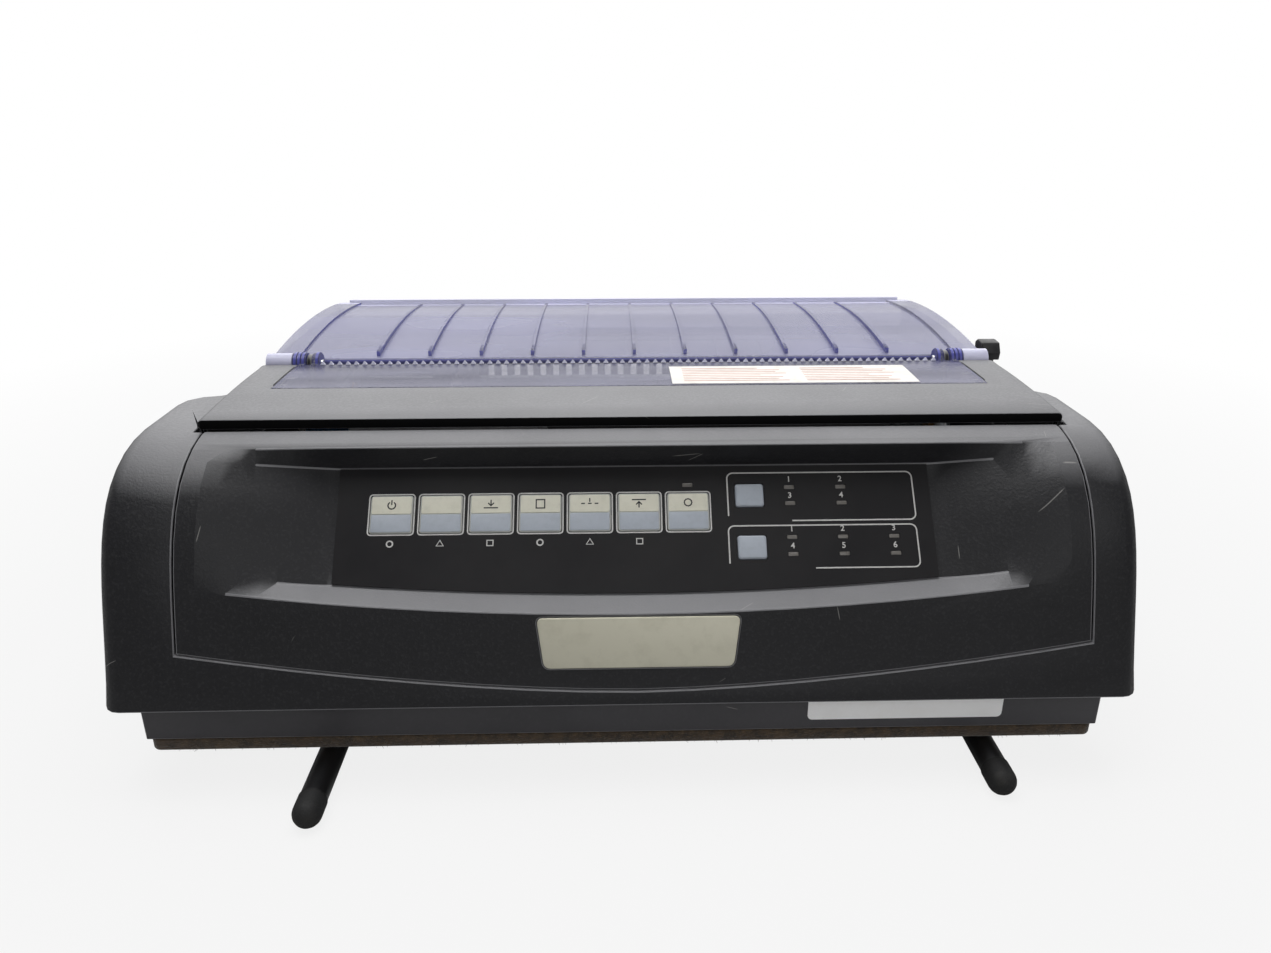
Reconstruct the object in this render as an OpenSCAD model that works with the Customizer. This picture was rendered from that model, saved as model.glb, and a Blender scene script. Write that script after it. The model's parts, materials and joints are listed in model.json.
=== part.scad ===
// Desktop dot matrix printer with a hinged access cover and a clear paper separator.
// Millimetres, +Z up, front towards -Y, origin on the table under the centre of the printer.
// The modules work in case coordinates: Y from the case's front edge, Z from the pad's underside.

/* [Case] */
// Width over the side walls
case_w = 398; // [394:1:404]
// Depth from the front edge to the rear wall
case_d = 345; // [340:1:356]
// Height of the side pods above the pad's underside
case_h = 115.5; // [114.5:0.5:117]
// Wall thickness of the moulded shells
wall = 2.6; // [2.2:0.1:3]
// Height of the shell's lower edge above the pad's underside
skirt_z = 25; // [23:1:27]
// How far the mechanism and its covers sit to the right of the case's centre
mech_x = 4.7; // [3:0.1:6]

/* [Front panel] */
// Width of the side pods beside the bezel
pod_w = 24.5; // [23:0.5:27]
// Half width of the control panel
panel_hw = 120; // [118:0.5:124]
// Width of a main key
key_w = 16.9; // [15:0.1:17.5]
// Height of a main key
key_h = 15.7; // [14:0.1:16.5]
// Distance between main keys
key_pitch = 19.74; // [19:0.01:20]
// Key travel
key_travel = 0.8; // [0.5:0.1:1]

/* [Covers] */
// Distance from the case's sides to the access cover
cover_side = 21; // [20:0.5:22]
// Width of the opaque border at each side of the window
window_side = 18; // [16:1:22]
// Rise of the cover's front edge above the side pods
cover_rise = 3.5; // [3:0.5:4.5]
// Number of ribs on the paper separator
rib_count = 11; // [7:2:11]
// Distance between the separator's ribs
rib_pitch = 25.6; // [24:0.1:26]

/* [Mechanism] */
// Platen roller diameter
platen_d = 28; // [26:0.5:28]
// Platen roller length
platen_len = 264; // [250:1:270]
// Distance from the left side frame to the carriage's centre at rest
carriage_side = 63; // [62:1:68]
// Distance of each tractor from the mechanism's centre
tractor_x = 96; // [90:1:105]

/* [Feet] */
// Rail diameter
rail_d = 10.5; // [9:0.5:12]
// Distance between the two rails
rail_gap = 264; // [250:1:280]
// Rail length without its caps
rail_len = 340; // [330:1:345]

/* [Hidden] */
$fn = 48;
eps = 0.01;

// feet and frame
rail_r = rail_d / 2;
cap_r = rail_r + 0.35;
cap_len = 7;
cap_dome = 5.6;
cap_flat = 0.25;
lift = rail_r + cap_r - cap_flat;
rail_x = 13;
rail_stagger = 11;
rail_front = -21;
rear_y = max(case_d, rail_front + rail_stagger + rail_len + cap_dome);
y_mid = (rail_front - cap_dome + rear_y) / 2;

// lower case and pad
pad_t = 5.4;
base_inset = 9.5;
base_hw = case_w / 2 - base_inset;
base_front = 10;
base_rear = case_d - 8;
floor_z = pad_t + wall;
flange_z = skirt_z + 3;
base_top = skirt_z + 16;

// front outline, a cubic curve from the lower edge to the pod tops
front_run = 72;
b0 = [0, skirt_z];
b1 = [17.3, skirt_z + 44.2];
b2 = [17.5, case_h - 1.7];
b3 = [front_run, case_h];
pod_drop = 12.5;
deck_z = case_h - pod_drop;
rear_r = 14;
edge_r = 7;

// front bezel
bezel_hw = case_w / 2 - pod_w;
bezel_gap = 0.6;
bezel_t = 2.6;
bezel_top = case_h - 0.9;
bezel_back = 64.8;
brow_z = case_h - 3.5;
panel_top = [58, case_h - 15];
panel_foot = [26, case_h - 51.3];
panel_tilt = atan2(panel_top[1] - panel_foot[1], panel_top[0] - panel_foot[0]);
panel_len = norm(panel_top - panel_foot);
panel_sag = 5;
ledge_tip = case_h - 46.5;
ledge_mid = case_h - 56.9;
tip_u = bezel_hw - 8;
groove_mid = skirt_z + 5.6;
groove_tip = skirt_z + 21;
sheet_t = 0.8;

// mechanism: axes as [y, z]
platen = [164, 82];
shaft_r = 4;
platen_hw = min(platen_len / 2, case_w / 2 - 65);
frame_u = case_w / 2 - 41;
frame_t = 2;
carriage_axis = [112, 54];
carriage_rod_r = 5;
gear_m = 1;
platen_teeth = 40;
idler_teeth = 24;
pinion_teeth = 12;
tractor_idler_teeth = 22;
tractor_teeth = 30;
idler_dir = -65;
pinion_dir = -20;
idler = platen + (platen_teeth + idler_teeth) / 2 * gear_m * [cos(idler_dir), sin(idler_dir)];
pinion = idler + (idler_teeth + pinion_teeth) / 2 * gear_m * [cos(pinion_dir), sin(pinion_dir)];
tractor_idler = platen + [(platen_teeth + tractor_idler_teeth) / 2 * gear_m, 0];
tractor = tractor_idler + [(tractor_idler_teeth + tractor_teeth) / 2 * gear_m, 0];
tractor_y = tractor[0];
rod = tractor + [20, 2];
gear_u = -(frame_u + 1);
gear_w = 5;
belt_y = 90;
belt_z = 50;
pulley_u = frame_u - 22;
carriage_rest = carriage_side - frame_u;
pulley_r = 8;
belt_t = 1.2;
knob_r = 16;
notch_r = 18.5;
notch_x = -case_w / 2 + 15;
lever = [176, 74];
lever_x = case_w / 2 - 8;
switch = [62, 58];
inlet_x = -case_w / 2 + 63;
socket_x = case_w / 2 - 107;
floor_screws = [for (x = [-120, -40, 40, 120], y = [90, 240]) [x, y]];
psu = [inlet_x + 26, base_rear - 65];
psu_holes = [for (x = [6, 184], y = [3.4, 49]) psu + [x, y]];

// covers and their hinge
cover_hw = case_w / 2 - cover_side;
window_hw = cover_hw - window_side;
cover_z = case_h + cover_rise;
hinge = [152, cover_z];
knuckle_r = 5.2;
pin_r = 2;
fit = 0.05;
cover_front = 66;
cover_rear = 146;
cover_t = 3;
window_t = 1.8;
window_front = 106;
ledge_z = case_h - 18.5;
strip_hw = cover_hw + 0.6;
strip_rear = max(case_d - 51, tractor_y + 50);
ledge_w = 8;
pod_wall = 2.2;
sep_front = 159;
sep_rear = strip_rear - 2;
sep_hw = cover_hw - 1;
sep_band = 13;
rib_front = sep_front + 5;
rib_rear = sep_rear - 8;
knuckles = [[window_hw - 9.5, window_hw - 6], [window_hw - 3, window_hw + 3.4]];
lug = [window_hw - 5.7, window_hw - 3.3];
ear = [window_hw + 3.8, sep_hw - 1];

// ---------- helpers ----------

function unit(v) = v / norm(v);
function mix(a, b, t) = a + (b - a) * t;
function smooth(t) = let (c = min(1, max(0, t))) c * c * (3 - 2 * c);
function bez(t) = pow(1 - t, 3) * b0 + 3 * pow(1 - t, 2) * t * b1 + 3 * (1 - t) * t * t * b2 + t * t * t * b3;
function bez_dir(t) = unit(pow(1 - t, 2) * (b1 - b0) + 2 * (1 - t) * t * (b2 - b1) + t * t * (b3 - b2));
function turned(v) = [-v[1], v[0]];

// a closed outline whose corners are rounded over a length of r
function softened(pts, r) = [for (i = [0:len(pts) - 1]) let (
        p = pts[i],
        a = p + r * unit(pts[(i + len(pts) - 1) % len(pts)] - p),
        b = p + r * unit(pts[(i + 1) % len(pts)] - p)
    ) for (t = [0:0.25:1]) mix(mix(a, p, t), mix(p, b, t), t)];
function bez_at(z, lo = 0, hi = 1, n = 18) =
    let (m = (lo + hi) / 2) n == 0 ? m : bez(m)[1] < z ? bez_at(z, m, hi, n - 1) : bez_at(z, lo, m, n - 1);

module at_case() translate([0, -y_mid, lift]) children();
module at_mech() at_case() translate([mech_x, 0, 0]) children();

// panel coordinates: X along the panel, Y up its slope, Z out of it
module on_panel() at_mech()
    translate([0, panel_foot[0], panel_foot[1]]) rotate([panel_tilt, 0, 0]) children();

// a cylinder along X from a to b about [y, z]
module bar(a, b, p, r) translate([min(a, b), p[0], p[1]]) rotate([0, 90, 0]) cylinder(r = r, h = abs(b - a));

// a [y, z] outline extruded along X from a to b
module slab(a, b, points) translate([a, 0, 0]) rotate([90, 0, 90]) linear_extrude(b - a) polygon(points);

// a box between two opposite corners
module block(p, q) translate([for (i = [0:2]) min(p[i], q[i])]) cube([for (i = [0:2]) abs(q[i] - p[i])]);

// a plate with rounded corners, centred, from z = 0 up
module tile(w, h, r, t) linear_extrude(t) round_rect(w, h, r);

module round_rect(w, h, r) {
    square([w - 2 * r, h], center = true);
    square([w, h - 2 * r], center = true);
    for (sx = [-1, 1], sy = [-1, 1]) translate([sx * (w / 2 - r), sy * (h / 2 - r)]) circle(r, $fn = 24);
}

// both sides of the mechanism
module both() {
    children();
    mirror([1, 0, 0]) children();
}

// skins a row of closed rings of equal length
module skin(rings) {
    n = len(rings[0]);
    m = len(rings);
    polyhedron(
        points = [for (r = rings) for (p = r) p],
        faces = concat(
            [[for (i = [n - 1:-1:0]) i]],
            [[for (i = [0:n - 1]) (m - 1) * n + i]],
            [for (k = [0:m - 2]) for (i = [0:n - 1]) for (t = [0, 1]) let (j = (i + 1) % n, a = k * n)
                t == 0 ? [a + i, a + j, a + n + j] : [a + i, a + n + j, a + n + i]]
        )
    );
}

function line_normal(pts, i) =
    i == 0 ? [-1, 0] : i == len(pts) - 1 ? [1, 0] : unit(turned(pts[i + 1] - pts[i - 1]));
function inset(pts, d) = [for (i = [0:len(pts) - 1]) pts[i] - d * line_normal(pts, i)];

// a body of an open outline's shape, with its long edges rounded towards the two ends
module pillow(outline, hw, r, steps) {
    angles = [for (k = [0:steps]) 90 * k / steps];
    ends = [for (a = angles) [hw - r + r * sin(a), r * (1 - cos(a))]];
    stations = concat([for (k = [steps:-1:0]) [-ends[k][0], ends[k][1]]], ends);
    skin([for (s = stations) [for (p = inset(outline, s[1])) [s[0], p[0], p[1]]]]);
}

// gear with straight-sided teeth; phase is the angle of one tooth
module gear2d(teeth, phase) {
    r = teeth * gear_m / 2;
    step = 360 / teeth;
    polygon([for (i = [0:teeth - 1]) for (c = [[-0.29, -1.2], [-0.115, 0.8], [0.115, 0.8], [0.29, -1.2]])
        (r + c[1] * gear_m) * [cos(phase + (i + c[0]) * step), sin(phase + (i + c[0]) * step)]]);
}

// a gear in the YZ plane, from u = a to b
module gear(a, b, p, teeth, phase, bore) difference() {
    translate([a, p[0], p[1]]) rotate([90, 0, 90]) linear_extrude(b - a) gear2d(teeth, phase);
    bar(a - 1, b + 1, p, bore);
}

// tooth angle of a gear that meshes with one whose phase is given, in direction dir from it
function mesh_phase(dir, teeth1, phase1, teeth2) =
    dir + 180 - (0.5 - (dir - phase1) * teeth1 / 360) * 360 / teeth2;

// ---------- case ----------

shell_line = concat(
    [for (i = [0:14]) bez(i / 14)],
    [for (y = [90:10:170]) [y, case_h - pod_drop * smooth((y - 98) / 66)]],
    [for (a = [90:-22.5:0]) [case_d - rear_r + rear_r * cos(a), deck_z - rear_r + rear_r * sin(a)]],
    [[case_d, skirt_z]]
);
inner_line = [for (p = inset(shell_line, wall)) p[1] < skirt_z + 1 ? [p[0], skirt_z - 1] : p];

function groove_z(u) = groove_mid + (groove_tip - groove_mid) * pow(min(1, abs(u) / bezel_hw), 1.7);

// what the bezel's outline takes out of the shell
module bezel_opening(gap) {
    hw = bezel_hw + gap;
    steps = 16;
    low = [for (i = [0:steps]) let (u = hw * (2 * i / steps - 1)) [u, groove_z(u) - gap]];
    translate([mech_x, 64 + gap, 0]) rotate([90, 0, 0]) linear_extrude(80)
        polygon(concat(low, [[hw, case_h + 9], [-hw, case_h + 9]]));
}

module pod_walls() {
    translate([mech_x, 0, 0]) {
        both() block([strip_hw, 60, ledge_z - 35], [strip_hw + pod_wall, strip_rear + pod_wall, case_h + 5]);
        both() block([strip_hw - ledge_w, 66, ledge_z - wall], [strip_hw + eps, strip_rear, ledge_z]);
        both() block([strip_hw - ledge_w, 66, ledge_z - 31],
            [strip_hw - ledge_w + pod_wall, strip_rear, ledge_z]);
        block([-strip_hw, strip_rear - ledge_w, ledge_z - wall], [strip_hw, strip_rear + pod_wall, ledge_z]);
        block([-strip_hw, strip_rear, ledge_z - wall], [strip_hw, strip_rear + pod_wall, case_h]);
    }
    bar(-case_w / 2, notch_x + pod_wall, platen, notch_r + pod_wall);
}

// carriers of the two hinge pins, bridging from the ledges over the gears
module hinge_lugs() translate([mech_x, 0, 0]) both() {
    block([strip_hw - ledge_w, hinge[0] - 5, ledge_z - wall], [strip_hw - 1, hinge[0] + 5, ledge_z + 10]);
    block([lug[0], hinge[0] - 5, ledge_z + 6.4], [strip_hw - 1, hinge[0] + 5, ledge_z + 10]);
    block([lug[0], hinge[0] - 4.6, ledge_z + 6.4], [lug[1], hinge[0] + 4.6, hinge[1]]);
    bar(lug[0], lug[1], hinge, 4.6);
}

// rail behind the bezel's top edge, under the cover's front wall
module front_rail() translate([mech_x, 0, 0]) {
    block([-strip_hw - 1, 65, ledge_z + 7], [strip_hw + 1, cover_front + 3.8, ledge_z + 10]);
    block([-bezel_hw, 65, ledge_z + 7], [bezel_hw, 66.6, bezel_top - 1.6]);
}

// ribbed slope that leads fanfold paper in from the rear
guide_y = [tractor_y + 37, strip_rear - 3];
guide_pitch = 28;
guide_ribs = floor((frame_u - 12) / guide_pitch);
module rear_guide() translate([mech_x, 0, 0]) {
    slab(-frame_u + 8, frame_u - 8, [[guide_y[1], ledge_z - wall], [guide_y[1], ledge_z],
        [guide_y[0], ledge_z - 6], [guide_y[0], ledge_z - 8.4]]);
    for (i = [-guide_ribs:guide_ribs]) slab(guide_pitch * i - 0.8, guide_pitch * i + 0.8, [
        [guide_y[1] - 1, ledge_z - 1], [guide_y[1] - 1, ledge_z + 1.2],
        [guide_y[0] + 2, ledge_z - 4.2], [guide_y[0] + 2, ledge_z - 7]]);
}

// posts on the shell's side walls that stand on the lower case's flange
module case_posts() for (sx = [-1, 1], y = [50, 175, 300])
    block([sx * (case_w / 2 - 1), y - 4, flange_z], [sx * (base_hw + 1), y + 4, flange_z + 14]);

// ears that carry the rocker's stub axles
module switch_ears() for (s = [-1, 1])
    block([case_w / 2 - 6.4, switch[0] - 3, switch[1] + s * 8 - 1],
        [case_w / 2 - 1, switch[0] + 3, switch[1] + s * 8 + 1]);

module knob_notch() {
    bar(-case_w / 2 - 1, notch_x, platen, notch_r);
    block([-case_w / 2 - 1, platen[0] - notch_r, platen[1]], [notch_x, platen[0] + notch_r, case_h]);
}

module upper_case() color("#2c2e31") at_case() difference() {
    union() {
        difference() {
            pillow(shell_line, case_w / 2, edge_r, 4);
            pillow(inner_line, case_w / 2 - wall, edge_r - wall, 2);
            bezel_opening(bezel_gap);
            translate([mech_x, 0, 0]) block([-strip_hw, 64, 60], [strip_hw, strip_rear, case_h + 9]);
        }
        intersection() {
            pillow(shell_line, case_w / 2, edge_r, 4);
            difference() {
                union() { pod_walls(); case_posts(); switch_ears(); }
                translate([mech_x, 0, 0]) block([-strip_hw, 64, ledge_z], [strip_hw, strip_rear, case_h + 9]);
            }
        }
        hinge_lugs();
        front_rail();
        rear_guide();
    }
    knob_notch();
    bar(-case_w / 2, -frame_u, platen, shaft_r + 1);
    translate([mech_x, 0, 0]) both() bar(lug[0] - 1, lug[1] + 1, hinge, pin_r);
    // lever slot and pivot bore
    block([lever_x - 3.2, lever[0] - 7, case_h - 30], [lever_x + 3.2, lever[0] + 22, case_h + 5]);
    bar(lever_x - 12, lever_x, lever, 2.5 + fit);
    // openings for the rocker switch, the mains inlet and the interface socket
    block([case_w / 2 - 9, switch[0] - 11, switch[1] - 7], [case_w / 2 + 1, switch[0] + 11, switch[1] + 7]);
    translate([case_w / 2 - 3.4, switch[0], switch[1] - 10]) cylinder(r = 1.2 + fit, h = 20, $fn = 24);
    block([inlet_x - 14, case_d - 9, 34], [inlet_x + 14, case_d + 1, 58]);
    block([socket_x - 32, case_d - 9, 34], [socket_x + 32, case_d + 1, 50]);
    // cooling slots in the rear wall
    for (i = [0:13]) block([psu[0] + 20 + 9 * i, case_d - 9, 56], [psu[0] + 24 + 9 * i, case_d + 1, 78]);
}

module lower_case() color("#26282b") at_case() difference() {
    union() {
        block([-base_hw, base_front, pad_t], [base_hw, base_rear, base_top]);
        block([-base_hw - 5.5, base_front - 5.5, flange_z - 2], [base_hw + 5.5, base_rear + 3.5, flange_z]);
    }
    difference() {
        block([-base_hw + wall, base_front + wall, floor_z],
            [base_hw - wall, base_rear - wall, base_top + 1]);
        // screw posts and stiffening ribs on the floor
        for (p = floor_screws) translate([mech_x + p[0], p[1], 0]) cylinder(d = 9, h = floor_z + 4);
        for (y = [50, 130, 200, psu[1] + 8]) block([-base_hw, y - 1, 0], [base_hw, y + 1, floor_z + 2]);
        for (x = [-150, 0, 150]) block([x - 1, base_front, 0], [x + 1, base_rear, floor_z + 2]);
    }
    block([inlet_x - 20, base_rear - 9, 30], [inlet_x + 20, base_rear + 9, base_top + 1]);
    block([socket_x - 38, base_rear - 9, 30], [socket_x + 38, base_rear + 9, base_top + 1]);
    for (p = floor_screws) translate([mech_x + p[0], p[1], floor_z - 1]) cylinder(d = 3, h = 9, $fn = 24);
}

// soft pad, notched where the rails' rear caps press into it
module base_pad() color("#4a3a2c") at_case() difference() {
    translate([0, (base_front + base_rear) / 2, 0])
        tile(2 * base_hw - 1.6, base_rear - base_front, 4, pad_t);
    each_rail() translate([0, rail_len - cap_len - 0.5, 0]) rotate([-90, 0, 0])
        cylinder(r = cap_r + 0.1, h = 60);
}

module each_rail() for (s = [0, 1])
    translate([rail_x + (s - 0.5) * rail_gap, rail_front + s * rail_stagger, -rail_r]) children();

module foot_rails() color("#1c1d1f") at_case() each_rail() rotate([-90, 0, 0])
    difference() {
        cylinder(r = rail_r, h = rail_len);
        translate([0, 0, -1]) cylinder(r = rail_r - 1.2, h = rail_len + 2);
    }

// closed rubber cap: a sleeve over the tube with a domed end
module rail_cap() rotate_extrude()
    polygon(concat(
        [for (a = [0:15:90]) [cap_r * sin(a), -cap_dome * cos(a)]],
        [[cap_r, cap_len], [rail_r, cap_len], [rail_r, 0], [0, 0]]
    ));

// the four caps, flattened where they stand on the table
module rail_caps() color("#141414") at_case() each_rail() difference() {
    union() {
        rotate([-90, 0, 0]) rail_cap();
        translate([0, rail_len, 0]) rotate([90, 0, 0]) rail_cap();
    }
    block([-cap_r, -20, -cap_r - 1], [cap_r, rail_len + 20, -cap_r + cap_flat]);
}

module rail_clips() color("#202124") at_case() each_rail()
    for (y = [60, rail_len - 60]) difference() {
        translate([-rail_r - 4, y, -rail_r + 1.5]) cube([2 * rail_r + 8, 18, 2 * rail_r - 1.5]);
        translate([0, y - 1, 0]) rotate([-90, 0, 0]) cylinder(r = rail_r, h = 20);
    }

// ---------- front bezel and control panel ----------

function recess_depth(u) = pow(min(1, max(0, (tip_u - abs(u)) / (tip_u - panel_hw - 1.2))), 1.1);
function ledge_z_at(u) = ledge_mid + (ledge_tip - ledge_mid) * pow(min(1, abs(u) / tip_u), 2);
function on_front(t, w) = bez(t) - w * turned(bez_dir(t));
function panel_low(u) = panel_foot
    - panel_sag * (1 - pow(min(1, abs(u) / panel_hw), 2)) * [cos(panel_tilt), sin(panel_tilt)];

// recess corner q, from the ledge's front edge to the brow's, moved into the wall by w
function recess_point(u, q, w) = let (
        low = panel_low(u) + w * [0.45, -1],
        high = panel_top + w * [1.27, -0.07]
    )
    q == 0 ? bez(bez_at(ledge_z_at(u))) + w * [0.75, -1]
    : q == 6 ? bez(bez_at(brow_z)) + w * [1.45, -0.33]
    : mix(low, high, (q - 1) / 4);

function bezel_line(u, w) = let (
        t_low = bez_at(groove_z(u)),
        t_ledge = bez_at(ledge_z_at(u)),
        t_brow = bez_at(brow_z),
        t_top = bez_at(bezel_top),
        spread = [0, 0.12, 0.3, 0.5, 0.7, 0.88, 1]
    )
    concat(
        [for (k = [0:2]) on_front(mix(t_low, t_ledge, k / 3), w)],
        [for (q = [0:6])
            mix(on_front(mix(t_ledge, t_brow, spread[q]), w), recess_point(u, q, w), recess_depth(u))],
        [for (k = [1:3]) on_front(mix(t_brow, t_top, k / 3), w)]
    );

half_stations = concat(
    [for (i = [0:6]) panel_hw * i / 6],
    [for (i = [0:8]) panel_hw + 1.2 + (tip_u - panel_hw - 1.2) * i / 8],
    [bezel_hw]
);
bezel_stations = concat(
    [for (i = [len(half_stations) - 1:-1:1]) -half_stations[i]],
    half_stations
);

// the front line at u, moved into the wall by w and closed behind it
function bezel_ring(u, w, back) = let (line = bezel_line(u, w), high = line[len(line) - 1])
    [for (p = concat(line, [[back, high[1]], [back, line[0][1]]])) [u, p[0], p[1]]];

module bezel_skin() difference() {
    skin([for (u = bezel_stations) bezel_ring(u, 0, bezel_back)]);
    skin([for (u = bezel_stations) bezel_ring(abs(u) < bezel_hw ? u : u + sign(u), bezel_t, bezel_back + 1)]);
}

main_key_u = [for (i = [0:6]) -97.6 + key_pitch * i + (19.74 - key_pitch) * 3];
key_v = 28.4;
mode_key_u = 45.8;
mode_key_v = [35, 13.3];
mode_key_w = 11.5;
mode_key_h = 9.6;
lamp_places = concat(
    [[main_key_u[6], 39.8]],
    [for (u = [62.2, 83.1], v = [31.6, 38.4]) [u, v]],
    [for (u = [62, 82.4, 103], v = [10.4, 17.4]) [u, v]]
);

module key_holes(t0, t1, slack) {
    for (u = main_key_u) translate([u, key_v, t0]) tile(key_w + slack, key_h + slack, 1.2, t1 - t0);
    for (v = mode_key_v) translate([mode_key_u, v, t0])
        tile(mode_key_w + slack, mode_key_h + slack, 1.2, t1 - t0);
}

module plate_shape(slack, t) {
    w1 = 77.8;
    w0 = 72.4;
    h = 19.4;
    low = bez(bez_at(case_h - 76.6));
    high = bez(bez_at(case_h - 58.4));
    tilt = atan2(high[1] - low[1], high[0] - low[0]);
    translate([0, low[0], low[1]]) rotate([tilt, 0, 0]) translate([0, -slack, -0.6])
        linear_extrude(t) polygon(softened([[-w0 / 2 - slack, 0], [w0 / 2 + slack, 0],
            [w1 / 2 + slack, h + 2 * slack], [-w1 / 2 - slack, h + 2 * slack]], 2.6));
}

module front_bezel() color("#2c2e31") difference() {
    at_mech() bezel_skin();
    on_panel() key_holes(-6, 3, 0.6);
    at_mech() plate_shape(0.15, 3);
}

module name_plate() color("#d0cfbf") at_mech() plate_shape(0, 1.4);

// thin printed sheet with a bowed lower edge
module panel_sheet() color("#2b2a2e") on_panel() difference() {
    linear_extrude(sheet_t) polygon(concat(
        [for (i = [-8:8]) let (u = (panel_hw - 1) * i / 8) [u, 0.6 - panel_sag * (1 - pow(u / panel_hw, 2))]],
        [[panel_hw - 0.6, panel_len - 0.6], [-panel_hw + 0.6, panel_len - 0.6]]
    ));
    key_holes(-1, 3, 0.6);
    for (p = lamp_places) translate([p[0], p[1], -1]) tile(4.2, 1.8, 0.4, 3);
}

module panel_lamps() color("#6c675f") on_panel()
    for (p = lamp_places) translate([p[0], p[1], 0]) tile(4, 1.6, 0.4, sheet_t - 0.1);

key_reach = 4.6;

// key cap with a retaining flange behind the bezel's wall and a plunger
module key_cap(u, v, w, h) color("#b9bcb6") on_panel() translate([u, v, 0]) {
    translate([0, 0, -bezel_t - 0.9]) tile(w, h, 1, bezel_t + 0.9 + sheet_t + 0.7);
    translate([0, 0, -bezel_t - 1.9]) tile(w + 2, h + 2, 1.2, 1.2);
    translate([0, 0, -bezel_t - key_reach]) cylinder(d = 4, h = 3);
}

module main_key(i) key_cap(main_key_u[i], key_v, key_w, key_h);
module mode_key(i) key_cap(mode_key_u, mode_key_v[i], mode_key_w, mode_key_h);

// circuit board behind the panel with one push switch under each key
module control_board() color("#31533a") on_panel() {
    z = -bezel_t - key_reach - key_travel - 3.2;
    difference() {
        translate([-112, 3, z]) cube([228, 42, 1.6]);
        for (u = [-108, 0, 112]) translate([u, 6.5, z - 1]) cylinder(d = 3.2, h = 4);
    }
    for (u = main_key_u) translate([u, key_v, z + 1.6]) tile(6, 6, 0.5, 1.4);
    for (v = mode_key_v) translate([mode_key_u, v, z + 1.6]) tile(6, 6, 0.5, 1.4);
}

module serial_label() color("#e6e4da") at_case() translate([case_w / 2 - 88, base_front, 16])
    rotate([90, 0, 0]) tile(78, 12, 2, 0.3);

// ---------- covers ----------

function cover_top(y) = cover_z + 1.6 * sin(180 * min(1, (y - cover_front) / 110));
function sep_top(y) = cover_z - 0.4
    + 4.6 * (1 - pow((2 * y - sep_front - sep_rear - 1) / (sep_rear - sep_front + 3), 2));

// top line of the cover from y = a to b, lowered by d
function cover_line(a, b, d) = [for (i = [0:8]) let (y = mix(a, b, i / 8)) [y, cover_top(y) - d]];
function sep_line(a, b, d) = [for (i = [0:12]) let (y = mix(a, b, i / 12)) [y, sep_top(y) - d]];
rib_line = [for (i = [0:12])
    let (y = mix(rib_front, rib_rear, i / 12)) [y, sep_top(y) + mix(2.4, 0.6, i / 12)]];
function band(line_a, line_b) = concat(line_a, [for (i = [len(line_b) - 1:-1:0]) line_b[i]]);
function cover_band(a, b, low, high) = band(cover_line(a, b, low), cover_line(a, b, high));
function sep_slice(low, high) = band(sep_line(sep_front, sep_rear, low), sep_line(sep_front, sep_rear, high));

module access_cover() color("#2c2e31") at_mech() difference() {
    pillow(concat(
        [[cover_front, bezel_top + 0.4]],
        cover_line(cover_front + 0.6, cover_rear, 0),
        [[cover_rear, ledge_z + 0.5], [cover_front + 8, ledge_z + 0.5], [cover_front + 3, bezel_top + 0.4]]
    ), cover_hw, 2.4, 3);
    slab(-cover_hw + wall, cover_hw - wall, concat(
        [[cover_front + 2.6, ledge_z - 5]], cover_line(cover_front + 2.6, cover_rear + 1, cover_t),
        [[cover_rear + 1, ledge_z - 5]]));
    slab(-window_hw - 0.3, window_hw + 0.3, cover_band(window_front - 0.3, cover_rear + 1, window_t, -3));
    slab(-window_hw + 4, window_hw - 4, cover_band(window_front + 4, cover_rear + 1, cover_t + 2, -3));
}

module cover_window() color("#c9cbe6", 0.5) at_mech() difference() {
    union() {
        slab(-window_hw, window_hw, cover_band(window_front, hinge[0] - 6.6, window_t, 0));
        both() for (k = knuckles) {
            bar(k[0], k[1], hinge, knuckle_r);
            block([k[0], hinge[0] - 9, hinge[1] - 0.2], [min(k[1], window_hw), hinge[0], hinge[1] + 1.4]);
        }
    }
    both() bar(window_hw - 20, window_hw + 10, hinge, pin_r + fit);
}

module window_label() color("#eceae4") at_mech()
    slab(18, 130, cover_band(window_front + 1.5, 136, 0, -0.25));

module hinge_pins() color("#b8bcc0") at_mech() both() bar(window_hw - 10.5, ear[1] - 0.5, hinge, pin_r);

module paper_separator() color("#c9cbe6", 0.5) at_mech() difference() {
    union() {
        slab(-sep_hw + 1, sep_hw - 1, sep_slice(2, 0));
        // thick side bands with skirts and barrel ears round the hinge axis
        both() {
            slab(sep_hw - sep_band, sep_hw, sep_slice(2, -1.2));
            slab(sep_hw - 2.2, sep_hw, concat([[sep_front + 8, ledge_z + 1]],
                sep_line(sep_front, sep_rear, 1), [[sep_rear, ledge_z + 1]]));
            bar(ear[0], ear[1], hinge, knuckle_r);
            block([ear[0], hinge[0], hinge[1] - 1], [ear[1], sep_front + 3, hinge[1] + 1.4]);
        }
        // rolled front edge, rear lip and tapering paper ribs
        bar(-sep_hw + sep_band, sep_hw - sep_band, [sep_front + 1.2, sep_top(sep_front) - 0.8], 1.6);
        block([-sep_hw + 6, sep_rear - 2, sep_top(sep_rear) - 1],
            [sep_hw - 6, sep_rear, sep_top(sep_rear) + 3]);
        for (i = [0:rib_count - 1]) let (u = 2.3 + rib_pitch * (i - (rib_count - 1) / 2))
            slab(u - 0.8, u + 0.8, band(sep_line(rib_front, rib_rear, 1), rib_line));
    }
    both() bar(ear[0] - 1, ear[1] - 0.2, hinge, pin_r + fit);
}

// ---------- levers and switch ----------

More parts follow.
